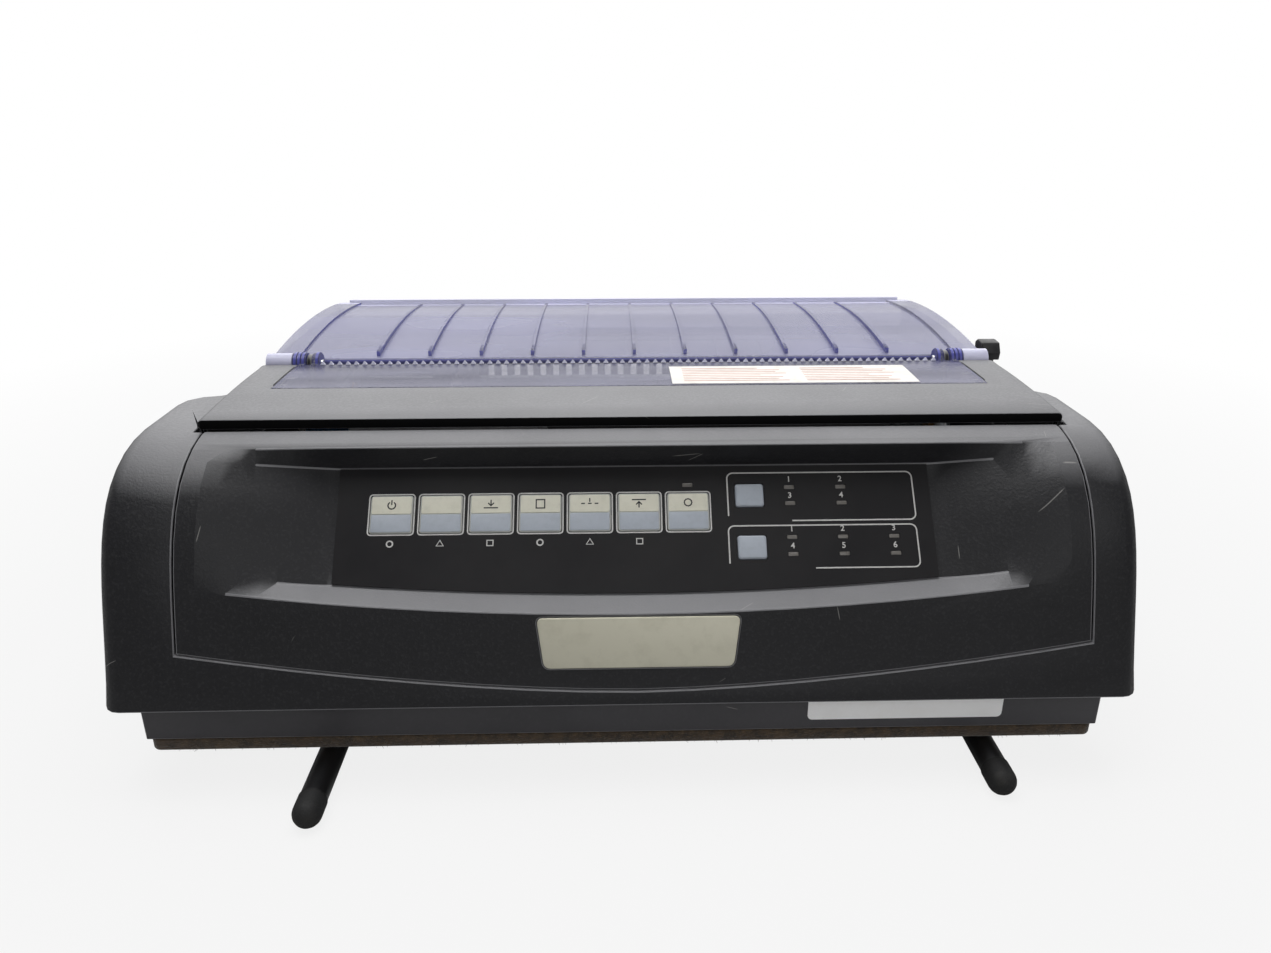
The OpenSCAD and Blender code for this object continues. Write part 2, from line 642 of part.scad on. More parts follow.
// hooked paper lever on a stub axle
module paper_lever() color("#17181a") at_case() {
    slab(lever_x - 2.7, lever_x + 2.7, [
        [lever[0] - 6, lever[1] - 5], [lever[0] + 5, lever[1] - 5], [lever[0] + 6, lever[1] + 5],
        [lever[0] + 4, cover_z - 5], [lever[0] - 4, cover_z - 5]]);
    slab(lever_x - 4.6, lever_x + 4.6, [
        [lever[0] - 6, cover_z - 5.5], [lever[0] + 5, cover_z - 5.5], [lever[0] + 6, cover_z + 1.5],
        [lever[0] + 3, cover_z + 3.6], [lever[0] - 4, cover_z + 3.2], [lever[0] - 7, cover_z - 1.5]]);
    bar(lever_x - 8, lever_x - 2.6, lever, 2.5);
}

// rocker with a shallow V face and stub axles
module power_switch() color("#151517") at_case()
    translate([case_w / 2 - 3.4, switch[0], switch[1]]) {
        rotate([0, 0, 6]) translate([0, 0, -6.7]) linear_extrude(13.4)
            polygon([[-5, -7], [0, -9.8], [1.9, -9.8], [0.6, 0], [1.9, 9.8], [0, 9.8], [-5, 7]]);
        translate([0, 0, -8.6]) cylinder(r = 1.2, h = 17.2, $fn = 24);
    }

// ---------- frames and fixed mechanism ----------

chassis_z = floor_z + 4;
chassis_top = chassis_z + 1.5;
chassis_front = 68;
chassis_rear = psu[1] - 10;
frame_top = 92.5;
frame_rear = chassis_rear - 4;

module chassis() color("#a9adb0") at_mech() {
    difference() {
        block([-frame_u - 2, chassis_front, chassis_z], [frame_u + 2, chassis_rear, chassis_top]);
        for (p = floor_screws) translate([p[0], p[1], chassis_z - 1]) cylinder(d = 3.4, h = 4, $fn = 24);
        for (x = [-80, 0, 80]) translate([x, 200, chassis_z - 1]) tile(30, 34, 6, 4);
    }
    // hemmed edges and the carriage's rear guide wall
    for (y = [chassis_front, chassis_rear - 1.5])
        block([-frame_u + 4, y, chassis_top - eps], [frame_u - 4, y + 1.5, chassis_top + 2.4]);
    difference() {
        block([-frame_u + 2, 138, chassis_top - eps], [frame_u - 2, 139.5, 41]);
        for (x = [-120:40:120]) translate([x, 145, 27]) rotate([90, 0, 0]) tile(28, 14, 4, 10);
    }
    // post of the belt's idler pulley
    translate([pulley_u, belt_y, chassis_top - eps]) cylinder(r = 3, h = belt_z + 6 - chassis_top);
    // paper chute under the platen
    slab(-platen_hw, platen_hw, concat(
        [for (a = [215:10:335]) platen + 18 * [cos(a), sin(a)]],
        [for (a = [335:-10:215]) platen + 16.8 * [cos(a), sin(a)]]));
}

module side_frame(u, motor) difference() {
    union() {
        slab(u, u + frame_t, [[80, chassis_top], [frame_rear, chassis_top], [frame_rear, 78],
            [frame_rear - 12, frame_top], [140, frame_top], [128, 70], [98, 70], [92, 60], [92, 44],
            [80, 30]]);
        if (motor) for (p = [idler, tractor_idler]) bar(gear_u - gear_w - 1, u + 1, p, 3);
    }
    bar(u - 1, u + frame_t + 1, platen, 6);
    bar(u - 1, u + frame_t + 1, tractor, 5);
    bar(u - 1, u + frame_t + 1, rod, 3);
    bar(u - 1, u + frame_t + 1, carriage_axis, carriage_rod_r);
    if (motor) bar(u - 1, u + frame_t + 1, pinion, 5);
}

module side_frame_left() color("#a9adb0") at_mech() side_frame(-frame_u, true);
module side_frame_right() color("#a9adb0") at_mech() side_frame(frame_u - frame_t, false);

// flanged plain bearings of the platen and tractor shafts, flanges inwards
module bush(u, p, bore, r) {
    inward = u < 0 ? 1 : -1;
    inner = u < 0 ? u + frame_t : u;
    difference() {
        union() {
            bar(u, u + frame_t, p, r);
            bar(inner, inner + inward * 1.5, p, r + 2);
        }
        bar(u - 3, u + frame_t + 3, p, bore);
    }
}

module shaft_bushes() color("#c9a24a") at_mech() for (u = [-frame_u, frame_u - frame_t]) {
    bush(u, platen, shaft_r + fit, 6);
    bush(u, tractor, 3 + fit, 5);
}

module motor_can(h, r) difference() {
    union() {
        cylinder(r = r, h = h);
        translate([0, 0, h]) cylinder(r = 5, h = 1.5);
        for (s = [-1, 1]) translate([s * r, 0, h - 1]) cylinder(r = 4, h = 1);
    }
    translate([0, 0, h - 9]) cylinder(r = 2 + fit, h = 12);
}

module feed_motor() color("#8d9094") at_mech()
    translate([-frame_u + frame_t + 23.5, pinion[0], pinion[1]]) rotate([0, -90, 0]) motor_can(22, 21);

module carriage_motor() color("#8d9094") at_mech()
    translate([-pulley_u, belt_y, chassis_top]) motor_can(27, 15);

rod_end = frame_u + 3;
module carriage_shaft() color("#c4c8cb") at_mech() bar(-rod_end, rod_end, carriage_axis, carriage_rod_r);
module tractor_rod() color("#c4c8cb") at_mech() bar(-rod_end, rod_end, rod, 3);

module drive_belt() color("#1b1b1b") at_mech()
    translate([0, belt_y, belt_z - 3]) linear_extrude(6) difference() {
        belt_outline(pulley_r + 0.3 + belt_t);
        belt_outline(pulley_r + 0.3);
    }

module belt_outline(r) {
    square([2 * pulley_u, 2 * r], center = true);
    for (s = [-1, 1]) translate([s * pulley_u, 0]) circle(r);
}

// circuit board with a transformer, two capacitors and a finned heat sink
module power_supply() color("#6d6a52") at_case() {
    difference() {
        translate([psu[0], psu[1], floor_z + 4]) cube([190, 54, 1.6]);
        for (p = psu_holes) translate([p[0], p[1], floor_z + 2]) cylinder(d = 3.2, h = 5, $fn = 24);
    }
    for (p = psu_holes) translate([p[0], p[1], floor_z]) cylinder(d = 7, h = 4, $fn = 24);
    translate([psu[0], psu[1], floor_z + 5.6]) {
        block([14, 12, 0], [56, 44, 30]);
        block([20, 7, 4.4], [50, 49, 24.4]);
        for (x = [72, 92]) translate([x, 28, 0]) cylinder(d = 16, h = 26);
        block([116, 8, 0], [170, 46, 4.1]);
        for (i = [0:7]) block([118 + 7 * i, 8, 4], [119.6 + 7 * i, 46, 26]);
    }
}

// flanged three-pole inlet
inlet_z = 46;
module mains_inlet() color("#1a1a1c") at_case() translate([inlet_x, case_d, inlet_z]) {
    difference() {
        union() {
            block([-13.6, -24, -11.6], [13.6, -0.4, 11.6]);
            block([-17, -wall - 2, -15], [17, -wall, 15]);
        }
        translate([0, 1, 0]) rotate([90, 0, 0]) tile(23, 16, 3, 18);
    }
    for (p = [[-7, -2], [7, -2], [0, 2]]) block([p[0] - 1, -18, p[1] - 2], [p[0] + 1, -6, p[1] + 2]);
}

// flanged wide interface connector with its contact tongue
socket_z = 42;
module interface_socket() color("#b4b8bb") at_case() translate([socket_x, case_d, socket_z]) {
    difference() {
        union() {
            block([-31.6, -18, -7.6], [31.6, -0.4, 7.6]);
            block([-36, -wall - 2, -11], [36, -wall, 11]);
        }
        translate([0, 1, 0]) rotate([90, 0, 0]) tile(58, 11, 3, 13);
    }
    block([-26, -13.5, -1.5], [26, -5.5, 1.5]);
}

// ---------- platen and its gear train ----------

phase_platen = 0;
phase_idler = mesh_phase(idler_dir, platen_teeth, phase_platen, idler_teeth);
phase_pinion = mesh_phase(pinion_dir, idler_teeth, phase_idler, pinion_teeth);
phase_tractor_idler = mesh_phase(0, platen_teeth, phase_platen, tractor_idler_teeth);
phase_tractor = mesh_phase(0, tractor_idler_teeth, phase_tractor_idler, tractor_teeth);

module platen_roller() color("#1b1b1c") at_mech() difference() {
    bar(-platen_hw, platen_hw, platen, platen_d / 2);
    bar(-platen_hw - 1, platen_hw + 1, platen, shaft_r);
}
module platen_shaft() color("#c4c8cb") at_mech() bar(-case_w / 2 - mech_x + 3, frame_u + 5, platen, shaft_r);
module platen_gear() color("#e3dfd2") at_mech() {
    gear(gear_u - gear_w, gear_u, platen, platen_teeth, phase_platen, shaft_r);
}

// fluted knob
module platen_knob() color("#222326") at_case() translate([-case_w / 2 + 0.6, platen[0], platen[1]])
    rotate([90, 0, 90]) difference() {
        linear_extrude(12.4) difference() {
            circle(knob_r);
            for (i = [0:23]) rotate(15 * i) translate([knob_r + 0.6, 0]) circle(1.5, $fn = 16);
        }
        translate([0, 0, -1]) cylinder(r = knob_r - 3, h = 2.5);
        translate([0, 0, 2.4]) cylinder(r = shaft_r, h = 12);
    }

module feed_idler_gear() color("#e3dfd2") at_mech()
    gear(gear_u - gear_w, gear_u, idler, idler_teeth, phase_idler, 3 + fit);
module tractor_idler_gear() color("#e3dfd2") at_mech()
    gear(gear_u - gear_w, gear_u, tractor_idler, tractor_idler_teeth, phase_tractor_idler, 3 + fit);
module feed_pinion() color("#c9a24a") at_mech() {
    gear(gear_u - gear_w, gear_u, pinion, pinion_teeth, phase_pinion, 0.01);
    bar(gear_u - 0.1, -frame_u + 8, pinion, 2);
}

// ---------- tractors ----------

module tractor_shaft() color("#c4c8cb") at_mech() {
    bar(gear_u - gear_w, -frame_u + 5, tractor, 3);
    bar(frame_u - 5, frame_u + 3, tractor, 3);
    translate([-frame_u + 5, tractor[0] - 2.1, tractor[1] - 2.1]) cube([2 * frame_u - 10, 4.2, 4.2]);
    gear(gear_u - gear_w, gear_u, tractor, tractor_teeth, phase_tractor, 2.9);
}

sprocket_r = 10.5;
lid_hinge = [9.6, 92];
tractor_side = [[-16, 74], [-10, 68], [28, 68], [34, 76], [34, 88], [28, 92], [-12, 92], [-16, 88]];

// one tractor in its own coordinates: U outwards from its centre, outer side positive
module tractor_body() difference() {
    union() {
        slab(-7, 7, [for (p = tractor_side) [tractor_y + p[0], p[1]]]);
        for (y = [tractor_y - 10, tractor_y + 22]) {
            bar_y(lid_hinge, y, 5, 2.6);
            block([6.5, y, 86], [12, y + 5, 92]);
        }
    }
    bar(-3.6, 3.6, tractor, sprocket_r + 2.5);
    block([-3.6, tractor_y - 13, tractor[1]], [3.6, tractor_y + 13, 94]);
    bar(-8, 8, tractor, 6.6);
    bar(-8, 13, rod, 3 + fit);
    bar_y(lid_hinge, tractor_y - 16, 50, 1.5 + fit);
}

// a cylinder along Y at [u, z]
module bar_y(p, y, len, r) translate([p[0], y, p[1]]) rotate([-90, 0, 0]) cylinder(r = r, h = len);

module tractor_lid() {
    difference() {
        block([-7, tractor_y - 13, 95], [12, tractor_y + 31, 97]);
        block([-1.8, tractor_y - 15, 94], [1.8, tractor_y + 16, 98]);
    }
    for (y = [tractor_y - 3, tractor_y + 12]) block([8.4, y, 91.6], [10.8, y + 8, 95.1]);
    bar_y(lid_hinge, tractor_y - 9.5, 36, 1.5);
}

module sprocket() difference() {
    union() {
        bar(-3, 3, tractor, sprocket_r);
        bar(-6.4, 6.4, tractor, 6);
        for (a = [15:30:345]) translate([0, tractor[0], tractor[1]]) rotate([a, 0, 0])
            translate([0, 0, sprocket_r - 1]) cylinder(r = 1.4, h = 2.9, $fn = 16);
    }
    translate([-8, tractor[0] - 2.15, tractor[1] - 2.15]) cube([16, 4.3, 4.3]);
}

// a tractor piece in its place on the left or the right
module on_left() at_mech() translate([-tractor_x, 0, 0]) mirror([1, 0, 0]) children();
module on_right() at_mech() translate([tractor_x, 0, 0]) children();

module tractor_left() color("#303236") on_left() tractor_body();
module tractor_right() color("#303236") on_right() tractor_body();
module tractor_lid_left() color("#3a3d42") on_left() tractor_lid();
module tractor_lid_right() color("#3a3d42") on_right() tractor_lid();
module tractor_sprocket_left() color("#d8d4c8") on_left() sprocket();
module tractor_sprocket_right() color("#d8d4c8") on_right() sprocket();

// ---------- carriage ----------

module at_carriage() at_mech() translate([carriage_rest, 0, 0]) children();

module carriage() color("#3a3c40") at_carriage() difference() {
    union() {
        block([-30, 101, 46], [30, 147, 60]);
        bar(-30, 30, carriage_axis, 9);
        for (s = [-1, 1]) block([s * 24.5, 103, 59], [s * 29, 111.5, 87.9]);
        block([-12, 134, 41.4], [12, 147, 46.1]);
        block([-10, 96.8, 44], [10, 102, 56]);
    }
    bar(-40, 40, carriage_axis, carriage_rod_r + fit);
    block([-20, 98, belt_z - 3.4], [20, 99.8, belt_z + 3.4]);
}

// finned die-cast body with a tapered nose towards the platen
module print_head() color("#8c9095") at_carriage() {
    block([-16, 124, 60], [16, 142, 91]);
    for (i = [0:6]) block([-21, 124.4 + 2.6 * i, 64], [21, 125.6 + 2.6 * i, 89]);
    slab(-9, 9, [[141, 66], [148.6, 77], [148.6, 88], [141, 91]]);
    block([-13, 122.6, 70], [13, 124.4, 84]);
}

module ribbon_cartridge() color("#1d1e20") at_carriage() {
    difference() {
        union() {
            translate([0, 97, 88]) tile(112, 46, 6, 12);
            translate([0, 97, 99]) tile(104, 38, 5, 1.8);
            for (s = [-1, 1]) translate([s * 30, 132, 79]) tile(8, 27, 2, 14);
            for (s = [-1, 1]) block([s * 26, 112, 84], [s * 34, 121, 92]);
        }
        translate([-40, 97, 94]) cylinder(r = 2.5 + fit, h = 20);
    }
    // the stretch of ribbon in front of the head's nose
    block([-31, 149, 79], [31, 149.25, 92]);
    for (s = [-1, 1]) block([s * 30.7, 145, 79], [s * 31, 149.1, 92]);
}

module ribbon_knob() color("#2f6f9a") at_carriage() translate([-40, 97, 0]) {
    translate([0, 0, 101.2]) linear_extrude(6) difference() {
        circle(9);
        for (i = [0:11]) rotate(30 * i) translate([9.6, 0]) circle(1.6, $fn = 16);
    }
    translate([0, 0, 95]) cylinder(r = 2.5, h = 7);
}

module drive_pulley() color("#c8ccce") at_mech() translate([-pulley_u, belt_y, 0]) {
    translate([0, 0, belt_z - 4.5]) cylinder(r = pulley_r + 2, h = 1);
    translate([0, 0, belt_z - 3.6]) cylinder(r = pulley_r, h = 7.2);
    translate([0, 0, belt_z + 3.5]) cylinder(r = pulley_r + 2, h = 1);
    translate([0, 0, chassis_top + 20]) cylinder(r = 2, h = belt_z + 7 - chassis_top - 20);
}

module idler_pulley() color("#e3dfd2") at_mech() translate([pulley_u, belt_y, 0]) difference() {
    union() {
        translate([0, 0, belt_z - 4.5]) cylinder(r = pulley_r + 2, h = 1);
        translate([0, 0, belt_z - 3.6]) cylinder(r = pulley_r, h = 7.2);
        translate([0, 0, belt_z + 3.5]) cylinder(r = pulley_r + 2, h = 1);
    }
    translate([0, 0, belt_z - 6]) cylinder(r = 3 + fit, h = 12);
}

module key_1() main_key(0);
module key_2() main_key(1);
module key_3() main_key(2);
module key_4() main_key(3);
module key_5() main_key(4);
module key_6() main_key(5);
module key_7() main_key(6);
module mode_key_1() mode_key(0);
module mode_key_2() mode_key(1);

lower_case();
base_pad();
foot_rails();
rail_caps();
rail_clips();
upper_case();
front_bezel();
panel_sheet();
panel_lamps();
key_1();
key_2();
key_3();
key_4();
key_5();
key_6();
key_7();
mode_key_1();
mode_key_2();
name_plate();
serial_label();
access_cover();
cover_window();
window_label();
hinge_pins();
paper_separator();
paper_lever();
chassis();
side_frame_left();
side_frame_right();
shaft_bushes();
platen_roller();
platen_shaft();
platen_gear();
platen_knob();
feed_idler_gear();
feed_pinion();
feed_motor();
tractor_idler_gear();
tractor_shaft();
tractor_rod();
tractor_left();
tractor_right();
tractor_sprocket_left();
tractor_sprocket_right();
tractor_lid_left();
tractor_lid_right();
carriage_shaft();
carriage();
print_head();
ribbon_cartridge();
ribbon_knob();
carriage_motor();
drive_pulley();
idler_pulley();
drive_belt();
control_board();
power_supply();
power_switch();
mains_inlet();
interface_socket();
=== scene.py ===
"""Looks of a desktop dot matrix printer: moulded shells, printed panel, keys, clear covers and works.

Lengths are in millimetres. CASE turns case coordinates (X from the case's centre, Y from its front edge,
Z from the underside of its pad) into the frame's metres, MECH those of the mechanism and PANEL those of
the tilted key panel, whose u and v run along and up its face.
"""
import json
import math

import bmesh
import bpy
from bpy.props import FloatProperty, FloatVectorProperty, IntProperty, PointerProperty
from mathutils import Matrix, Vector
from mathutils.bvhtree import BVHTree


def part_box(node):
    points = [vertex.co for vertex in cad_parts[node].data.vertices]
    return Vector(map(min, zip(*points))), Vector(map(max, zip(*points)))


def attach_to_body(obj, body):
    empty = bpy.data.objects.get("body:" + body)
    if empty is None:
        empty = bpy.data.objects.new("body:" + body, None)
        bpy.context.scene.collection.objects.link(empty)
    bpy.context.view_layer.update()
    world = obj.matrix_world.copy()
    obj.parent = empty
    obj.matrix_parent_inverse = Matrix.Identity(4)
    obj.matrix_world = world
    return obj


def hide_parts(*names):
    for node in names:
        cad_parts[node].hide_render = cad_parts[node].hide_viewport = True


bl_info = {
    "name": "Dot Matrix Printer Looks",
    "version": (1, 0, 0),
    "blender": (4, 5, 0),
    "location": "View3D > Sidebar > Printer",
    "description": "Dresses the packed printer: shells, panel, keys, clear covers, works and stage",
    "category": "Object",
}

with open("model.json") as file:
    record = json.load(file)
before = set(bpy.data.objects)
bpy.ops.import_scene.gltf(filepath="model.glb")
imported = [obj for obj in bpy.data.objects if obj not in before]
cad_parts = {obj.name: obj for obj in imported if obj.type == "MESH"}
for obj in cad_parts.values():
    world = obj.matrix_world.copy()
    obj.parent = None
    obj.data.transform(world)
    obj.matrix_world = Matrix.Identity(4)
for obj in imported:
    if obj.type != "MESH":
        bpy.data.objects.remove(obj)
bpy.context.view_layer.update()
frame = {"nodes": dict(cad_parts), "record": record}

MM = 0.001
CASE_ORIGIN = Vector((0.0, -159.2, 10.6))      # case coordinates to the frame's origin, mm
MECH_X = 4.7                                   # the mechanism sits right of the case's centre
PANEL_FOOT = (26.0, 64.2)                      # lower edge of the key panel, y and z
PANEL_TILT = math.degrees(math.atan2(36.3, 32.0))
SHEET_TOP = 0.8                                # outer face of the panel's printed sheet
CASE = Matrix.Scale(MM, 4) @ Matrix.Translation(CASE_ORIGIN)
MECH = CASE @ Matrix.Translation((MECH_X, 0, 0))
PANEL = MECH @ Matrix.Translation((0, *PANEL_FOOT)) @ Matrix.Rotation(math.radians(PANEL_TILT), 4, "X")

MAIN_KEY_PLACES = [(-97.6 + 19.74 * i, 28.4) for i in range(7)]     # centres on the panel, u and v
MODE_KEY_PLACES = [(45.8, 35.0), (45.8, 13.3)]
MAIN_KEY_SIZE = (16.9, 15.7)
MODE_KEY_SIZE = (11.5, 9.6)
KEY_TOP = 1.5


# ---------- colours and nodes ----------

def srgb(code):
    """An sRGB hex colour as the linear RGBA that sockets take."""
    parts = [int(code[i:i + 2], 16) / 255 for i in (1, 3, 5)]
    return (*[p / 12.92 if p <= 0.04045 else ((p + 0.055) / 1.055) ** 2.4 for p in parts], 1.0)


def shade(colour, factor):
    """A linear colour made lighter or darker by factor."""
    return (*[min(1.0, part * factor) for part in colour[:3]], 1.0)


RAMP = "ShaderNodeMapRange"         # sockets: value, low, high, and what low and high become
MATHS = "ShaderNodeMath"
VECTORS = "ShaderNodeVectorMath"
MIX = "ShaderNodeMix"               # sockets: factor, and what it is at 0 and at 1
BUMP = "ShaderNodeBump"


class Nodes:
    """A node tree, and a few patterns of several nodes that are read at its coords."""

    def __init__(self, tree, coords=None):
        self.tree = tree
        self.coords = coords

    def put(self, kind, inputs=(), **settings):
        """Adds a node, sets it and joins its inputs: a list fills its open sockets in turn, a dictionary
        gives them by name or number."""
        node = self.tree.nodes.new(kind)
        for name, value in settings.items():
            setattr(node, name, value)
        if isinstance(inputs, dict):
            pairs = [(node.inputs[key], value) for key, value in inputs.items()]
        else:
            pairs = zip([socket for socket in node.inputs if socket.enabled], inputs)
        for socket, value in pairs:
            self.join(value, socket)
        return node

    def join(self, value, socket):
        """Sets a socket to a value, or links it to an output; a node stands for its first open output."""
        if isinstance(value, bpy.types.Node):
            value = next(output for output in value.outputs if output.enabled)
        if isinstance(value, bpy.types.NodeSocket):
            self.tree.links.new(value, socket)
        else:
            socket.default_value = value

    def blend(self, value, low, high, a, b, most=1.0):
        """Colour a where value is low, and by the share most colour b where it is high."""
        share = self.put(RAMP, [value, low, high, 0.0, most])
        return self.put(MIX, [share, a, b], data_type="RGBA")

    def blobs(self, size, detail=2.0, roughness=0.5, stretch=(1, 1, 1)):
        """Noise whose blobs are about size long, and longer where stretch is above 1."""
        scale = [1 / (size * s) for s in stretch]
        scaled = self.put("ShaderNodeMapping", {"Vector": self.coords, "Scale": scale})
        return self.put("ShaderNodeTexNoise", {"Vector": scaled, "Scale": 1.0, "Detail": detail,
                                               "Roughness": roughness})

    def facing_up(self):
        """1 on faces that look up, 0 on walls and undersides."""
        normal = self.put("ShaderNodeNewGeometry").outputs["Normal"]
        return self.put(RAMP, [self.put("ShaderNodeSeparateXYZ", [normal]).outputs["Z"], 0.7, 1.0])

    def hairlines(self, cell, width, share):
        """Short straight scratches: one in a share of the cells of a random lattice, each its own way."""
        scaled = self.put("ShaderNodeMapping", {"Vector": self.coords, "Scale": (1 / cell,) * 3})
        cells = self.put("ShaderNodeTexVoronoi", {"Vector": scaled, "Scale": 1.0})
        offset = self.put(VECTORS, [scaled, cells.outputs["Position"]], operation="SUBTRACT")
        spread = self.put(VECTORS, [cells.outputs["Color"], (0.5, 0.5, 0.5)], operation="SUBTRACT")
        way = self.put(VECTORS, [spread], operation="NORMALIZE")
        across = self.put(VECTORS, [offset, way], operation="DOT_PRODUCT")
        away = self.put(MATHS, [across], operation="ABSOLUTE")
        line = self.put(RAMP, [away, 0.0, width / cell, 1.0, 0.0])
        near = self.put(RAMP, [cells.outputs["Distance"], 0.3, 0.42, 1.0, 0.0])
        pick = self.put("ShaderNodeTexWhiteNoise", {"Vector": cells.outputs["Color"]}).outputs["Value"]
        chosen = self.put(RAMP, [pick, share, share + 0.001, 1.0, 0.0])
        short = self.put(MATHS, [line, near], operation="MULTIPLY")
        return self.put(MATHS, [short, chosen], operation="MULTIPLY")


class Look(Nodes):
    """A material with one Principled shader and patterns in object coordinates, in millimetres."""

    def __init__(self, name, **inputs):
        self.material = bpy.data.materials.new(name)
        self.material.use_nodes = True
        super().__init__(self.material.node_tree)
        self.tree.nodes.clear()
        self.shader = self.put("ShaderNodeBsdfPrincipled")
        self.feed(**inputs)
        self.put("ShaderNodeOutputMaterial", {"Surface": self.shader})
        objects = self.put("ShaderNodeTexCoord").outputs["Object"]
        self.coords = self.put("ShaderNodeMapping", {"Vector": objects, "Scale": (1 / MM,) * 3})

    def feed(self, **inputs):
        """Sets or joins inputs of the shader, whose names have an underscore for a space, and returns the
        material."""
        for name, value in inputs.items():
            self.join(value, self.shader.inputs[name.replace("_", " ")])
        return self.material


# ---------- materials ----------

def textured_abs(name, colour, dust_and_sheen_colour, dust, grain=1.1, depth=0.16):
    """ABS moulded in a spark-eroded tool: a leathery grain that greys at grazing light, with pale painted
    glints on its crests, a few pale hairline scratches, and a thin even film of grey dust on what faces up,
    partly painted sheen that lightens the tops."""
    look = Look(name, IOR=1.54, Specular_IOR_Level=0.3)
    grains = look.blobs(grain)
    patches = look.blobs(60.0, 4.0, 0.6)
    tint = look.blend(patches, 0.35, 0.65, shade(colour, 0.92), shade(colour, 1.1))
    # pale colour painted on the grain's crests: painted glints that light makes on the grain
    painted_grain_glints = look.put(MATHS, [look.put(RAMP, [grains, 0.52, 0.7]), 0.032], operation="MULTIPLY")
    base = look.put(MIX, [painted_grain_glints, tint, srgb("#8e8e90")], data_type="RGBA")
    # dust on what faces up, partly painted sheen: it lightens the lit tops as the light on them would
    cover = look.put(RAMP, [patches, 0.3, 0.7, dust * 0.85, dust])
    dust_and_sheen_share = look.put(MATHS, [look.facing_up(), cover], operation="MULTIPLY")
    with_dust_and_sheen = look.put(MIX, [dust_and_sheen_share, base, dust_and_sheen_colour], data_type="RGBA")
    rubs = look.put(MATHS, [look.hairlines(17.0, 0.22, 0.035), look.hairlines(9.0, 0.2, 0.03)],
                    operation="MAXIMUM")
    faint = look.put(MATHS, [rubs, 0.48], operation="MULTIPLY")
    return look.feed(Base_Color=look.put(MIX, [faint, with_dust_and_sheen, srgb("#b3b1ad")], data_type="RGBA"),
                     Roughness=look.put(RAMP, [grains, 0.3, 0.7, 0.4, 0.56]),
                     Normal=look.put(BUMP, {"Height": grains, "Distance": depth * MM, "Strength": 0.8}))


def smooth_moulding(name, colour, roughness=0.38, gloss=0.5):
    """Polished-tool moulding in ABS, PBT or acetal: a soft even gloss with faint flow marks."""
    look = Look(name, IOR=1.49, Specular_IOR_Level=gloss)
    flow = look.blobs(5.0, 3.0, 0.55)
    base = look.blend(flow, 0.3, 0.7, shade(colour, 0.93), shade(colour, 1.06))
    rubs = look.put(MATHS, [look.hairlines(16.0, 0.15, 0.12), 0.4], operation="MULTIPLY")
    skin = look.blobs(0.5)
    return look.feed(Base_Color=look.put(MIX, [rubs, base, srgb("#8f8f8c")], data_type="RGBA"),
                     Roughness=look.put(RAMP, [flow, 0.3, 0.7, roughness - 0.05, roughness + 0.07]),
                     Normal=look.put(BUMP, {"Height": skin, "Distance": 0.008 * MM, "Strength": 0.5}))


def keycap_abs(name, colour):
    """Matt ABS key inlay, finger-polished in the middle and a little soiled."""
    look = Look(name, IOR=1.54)
    soil = look.blobs(3.2, 4.0, 0.65)
    skin = look.blobs(0.35, 1.0)
    return look.feed(Base_Color=look.blend(soil, 0.45, 0.8, colour, shade(colour, 0.78), 0.5),
                     Roughness=look.put(RAMP, [soil, 0.3, 0.7, 0.36, 0.52]),
                     Normal=look.put(BUMP, {"Height": skin, "Distance": 0.01 * MM, "Strength": 0.5}))


def tinted_polycarbonate(name, tint, cloud, clear, size=60.0, stretch=3.0):
    """Injection-moulded polycarbonate with a violet-blue tint: see-through face on, closing to a pale
    sheen at a low angle, with soft clouds left by handling and cleaning."""
    look = Look(name, IOR=1.585, Specular_IOR_Level=0.3)
    clouds = look.blobs(size, stretch=(stretch, 1, 1))
    tilt = look.put("ShaderNodeLayerWeight", {"Blend": 0.5}).outputs["Facing"]
    sheen = look.put(RAMP, [tilt, 0.35, 0.98, 0.0, 0.3])
    haze = look.put(RAMP, [clouds, 0.3, 0.7, 1.0 - clear, 1.0 - clear + cloud])
    both = look.put(MATHS, [haze, sheen], operation="ADD")
    waves = look.blobs(12.0, 1.0)
    return look.feed(Alpha=look.put(RAMP, [both, 0.0, 1.0]),
                     Roughness=look.put(RAMP, [clouds, 0.3, 0.7, 0.18, 0.3]),
                     Base_Color=look.blend(clouds, 0.3, 0.7, shade(tint, 0.86), shade(tint, 1.16)),
                     Normal=look.put(BUMP, {"Height": waves, "Distance": 0.02 * MM, "Strength": 0.2}))


def printed_film(name, colour, dust):
    """Matt-lacquered polyester film, back-printed, with a little lint and pale dust specks on it."""
    look = Look(name, IOR=1.5, Specular_IOR_Level=0.28)
    specks = look.put("ShaderNodeTexVoronoi", {"Vector": look.coords, "Scale": 0.7})
    lint = look.put(RAMP, [specks.outputs["Distance"], 0.03, 0.08, 1.0, 0.0])
    sparse = look.put(RAMP, [look.blobs(6.0), 0.55, 0.65])
    film = look.put(RAMP, [look.blobs(50.0, 4.0, 0.6), 0.35, 0.75, 0.0, dust])
    fewer = look.put(MATHS, [lint, sparse], operation="MULTIPLY")
    fainter = look.put(MATHS, [fewer, 0.3], operation="MULTIPLY")
    marks = look.put(MATHS, [fainter, film], operation="MAXIMUM")
    lacquer = look.blobs(0.3, 1.0)
    return look.feed(Base_Color=look.put(MIX, [marks, colour, srgb("#7c7a76")], data_type="RGBA"),
                     Roughness=look.put(RAMP, [film, 0.0, 0.2, 0.4, 0.52]),
                     Normal=look.put(BUMP, {"Height": lacquer, "Distance": 0.006 * MM, "Strength": 0.5}))


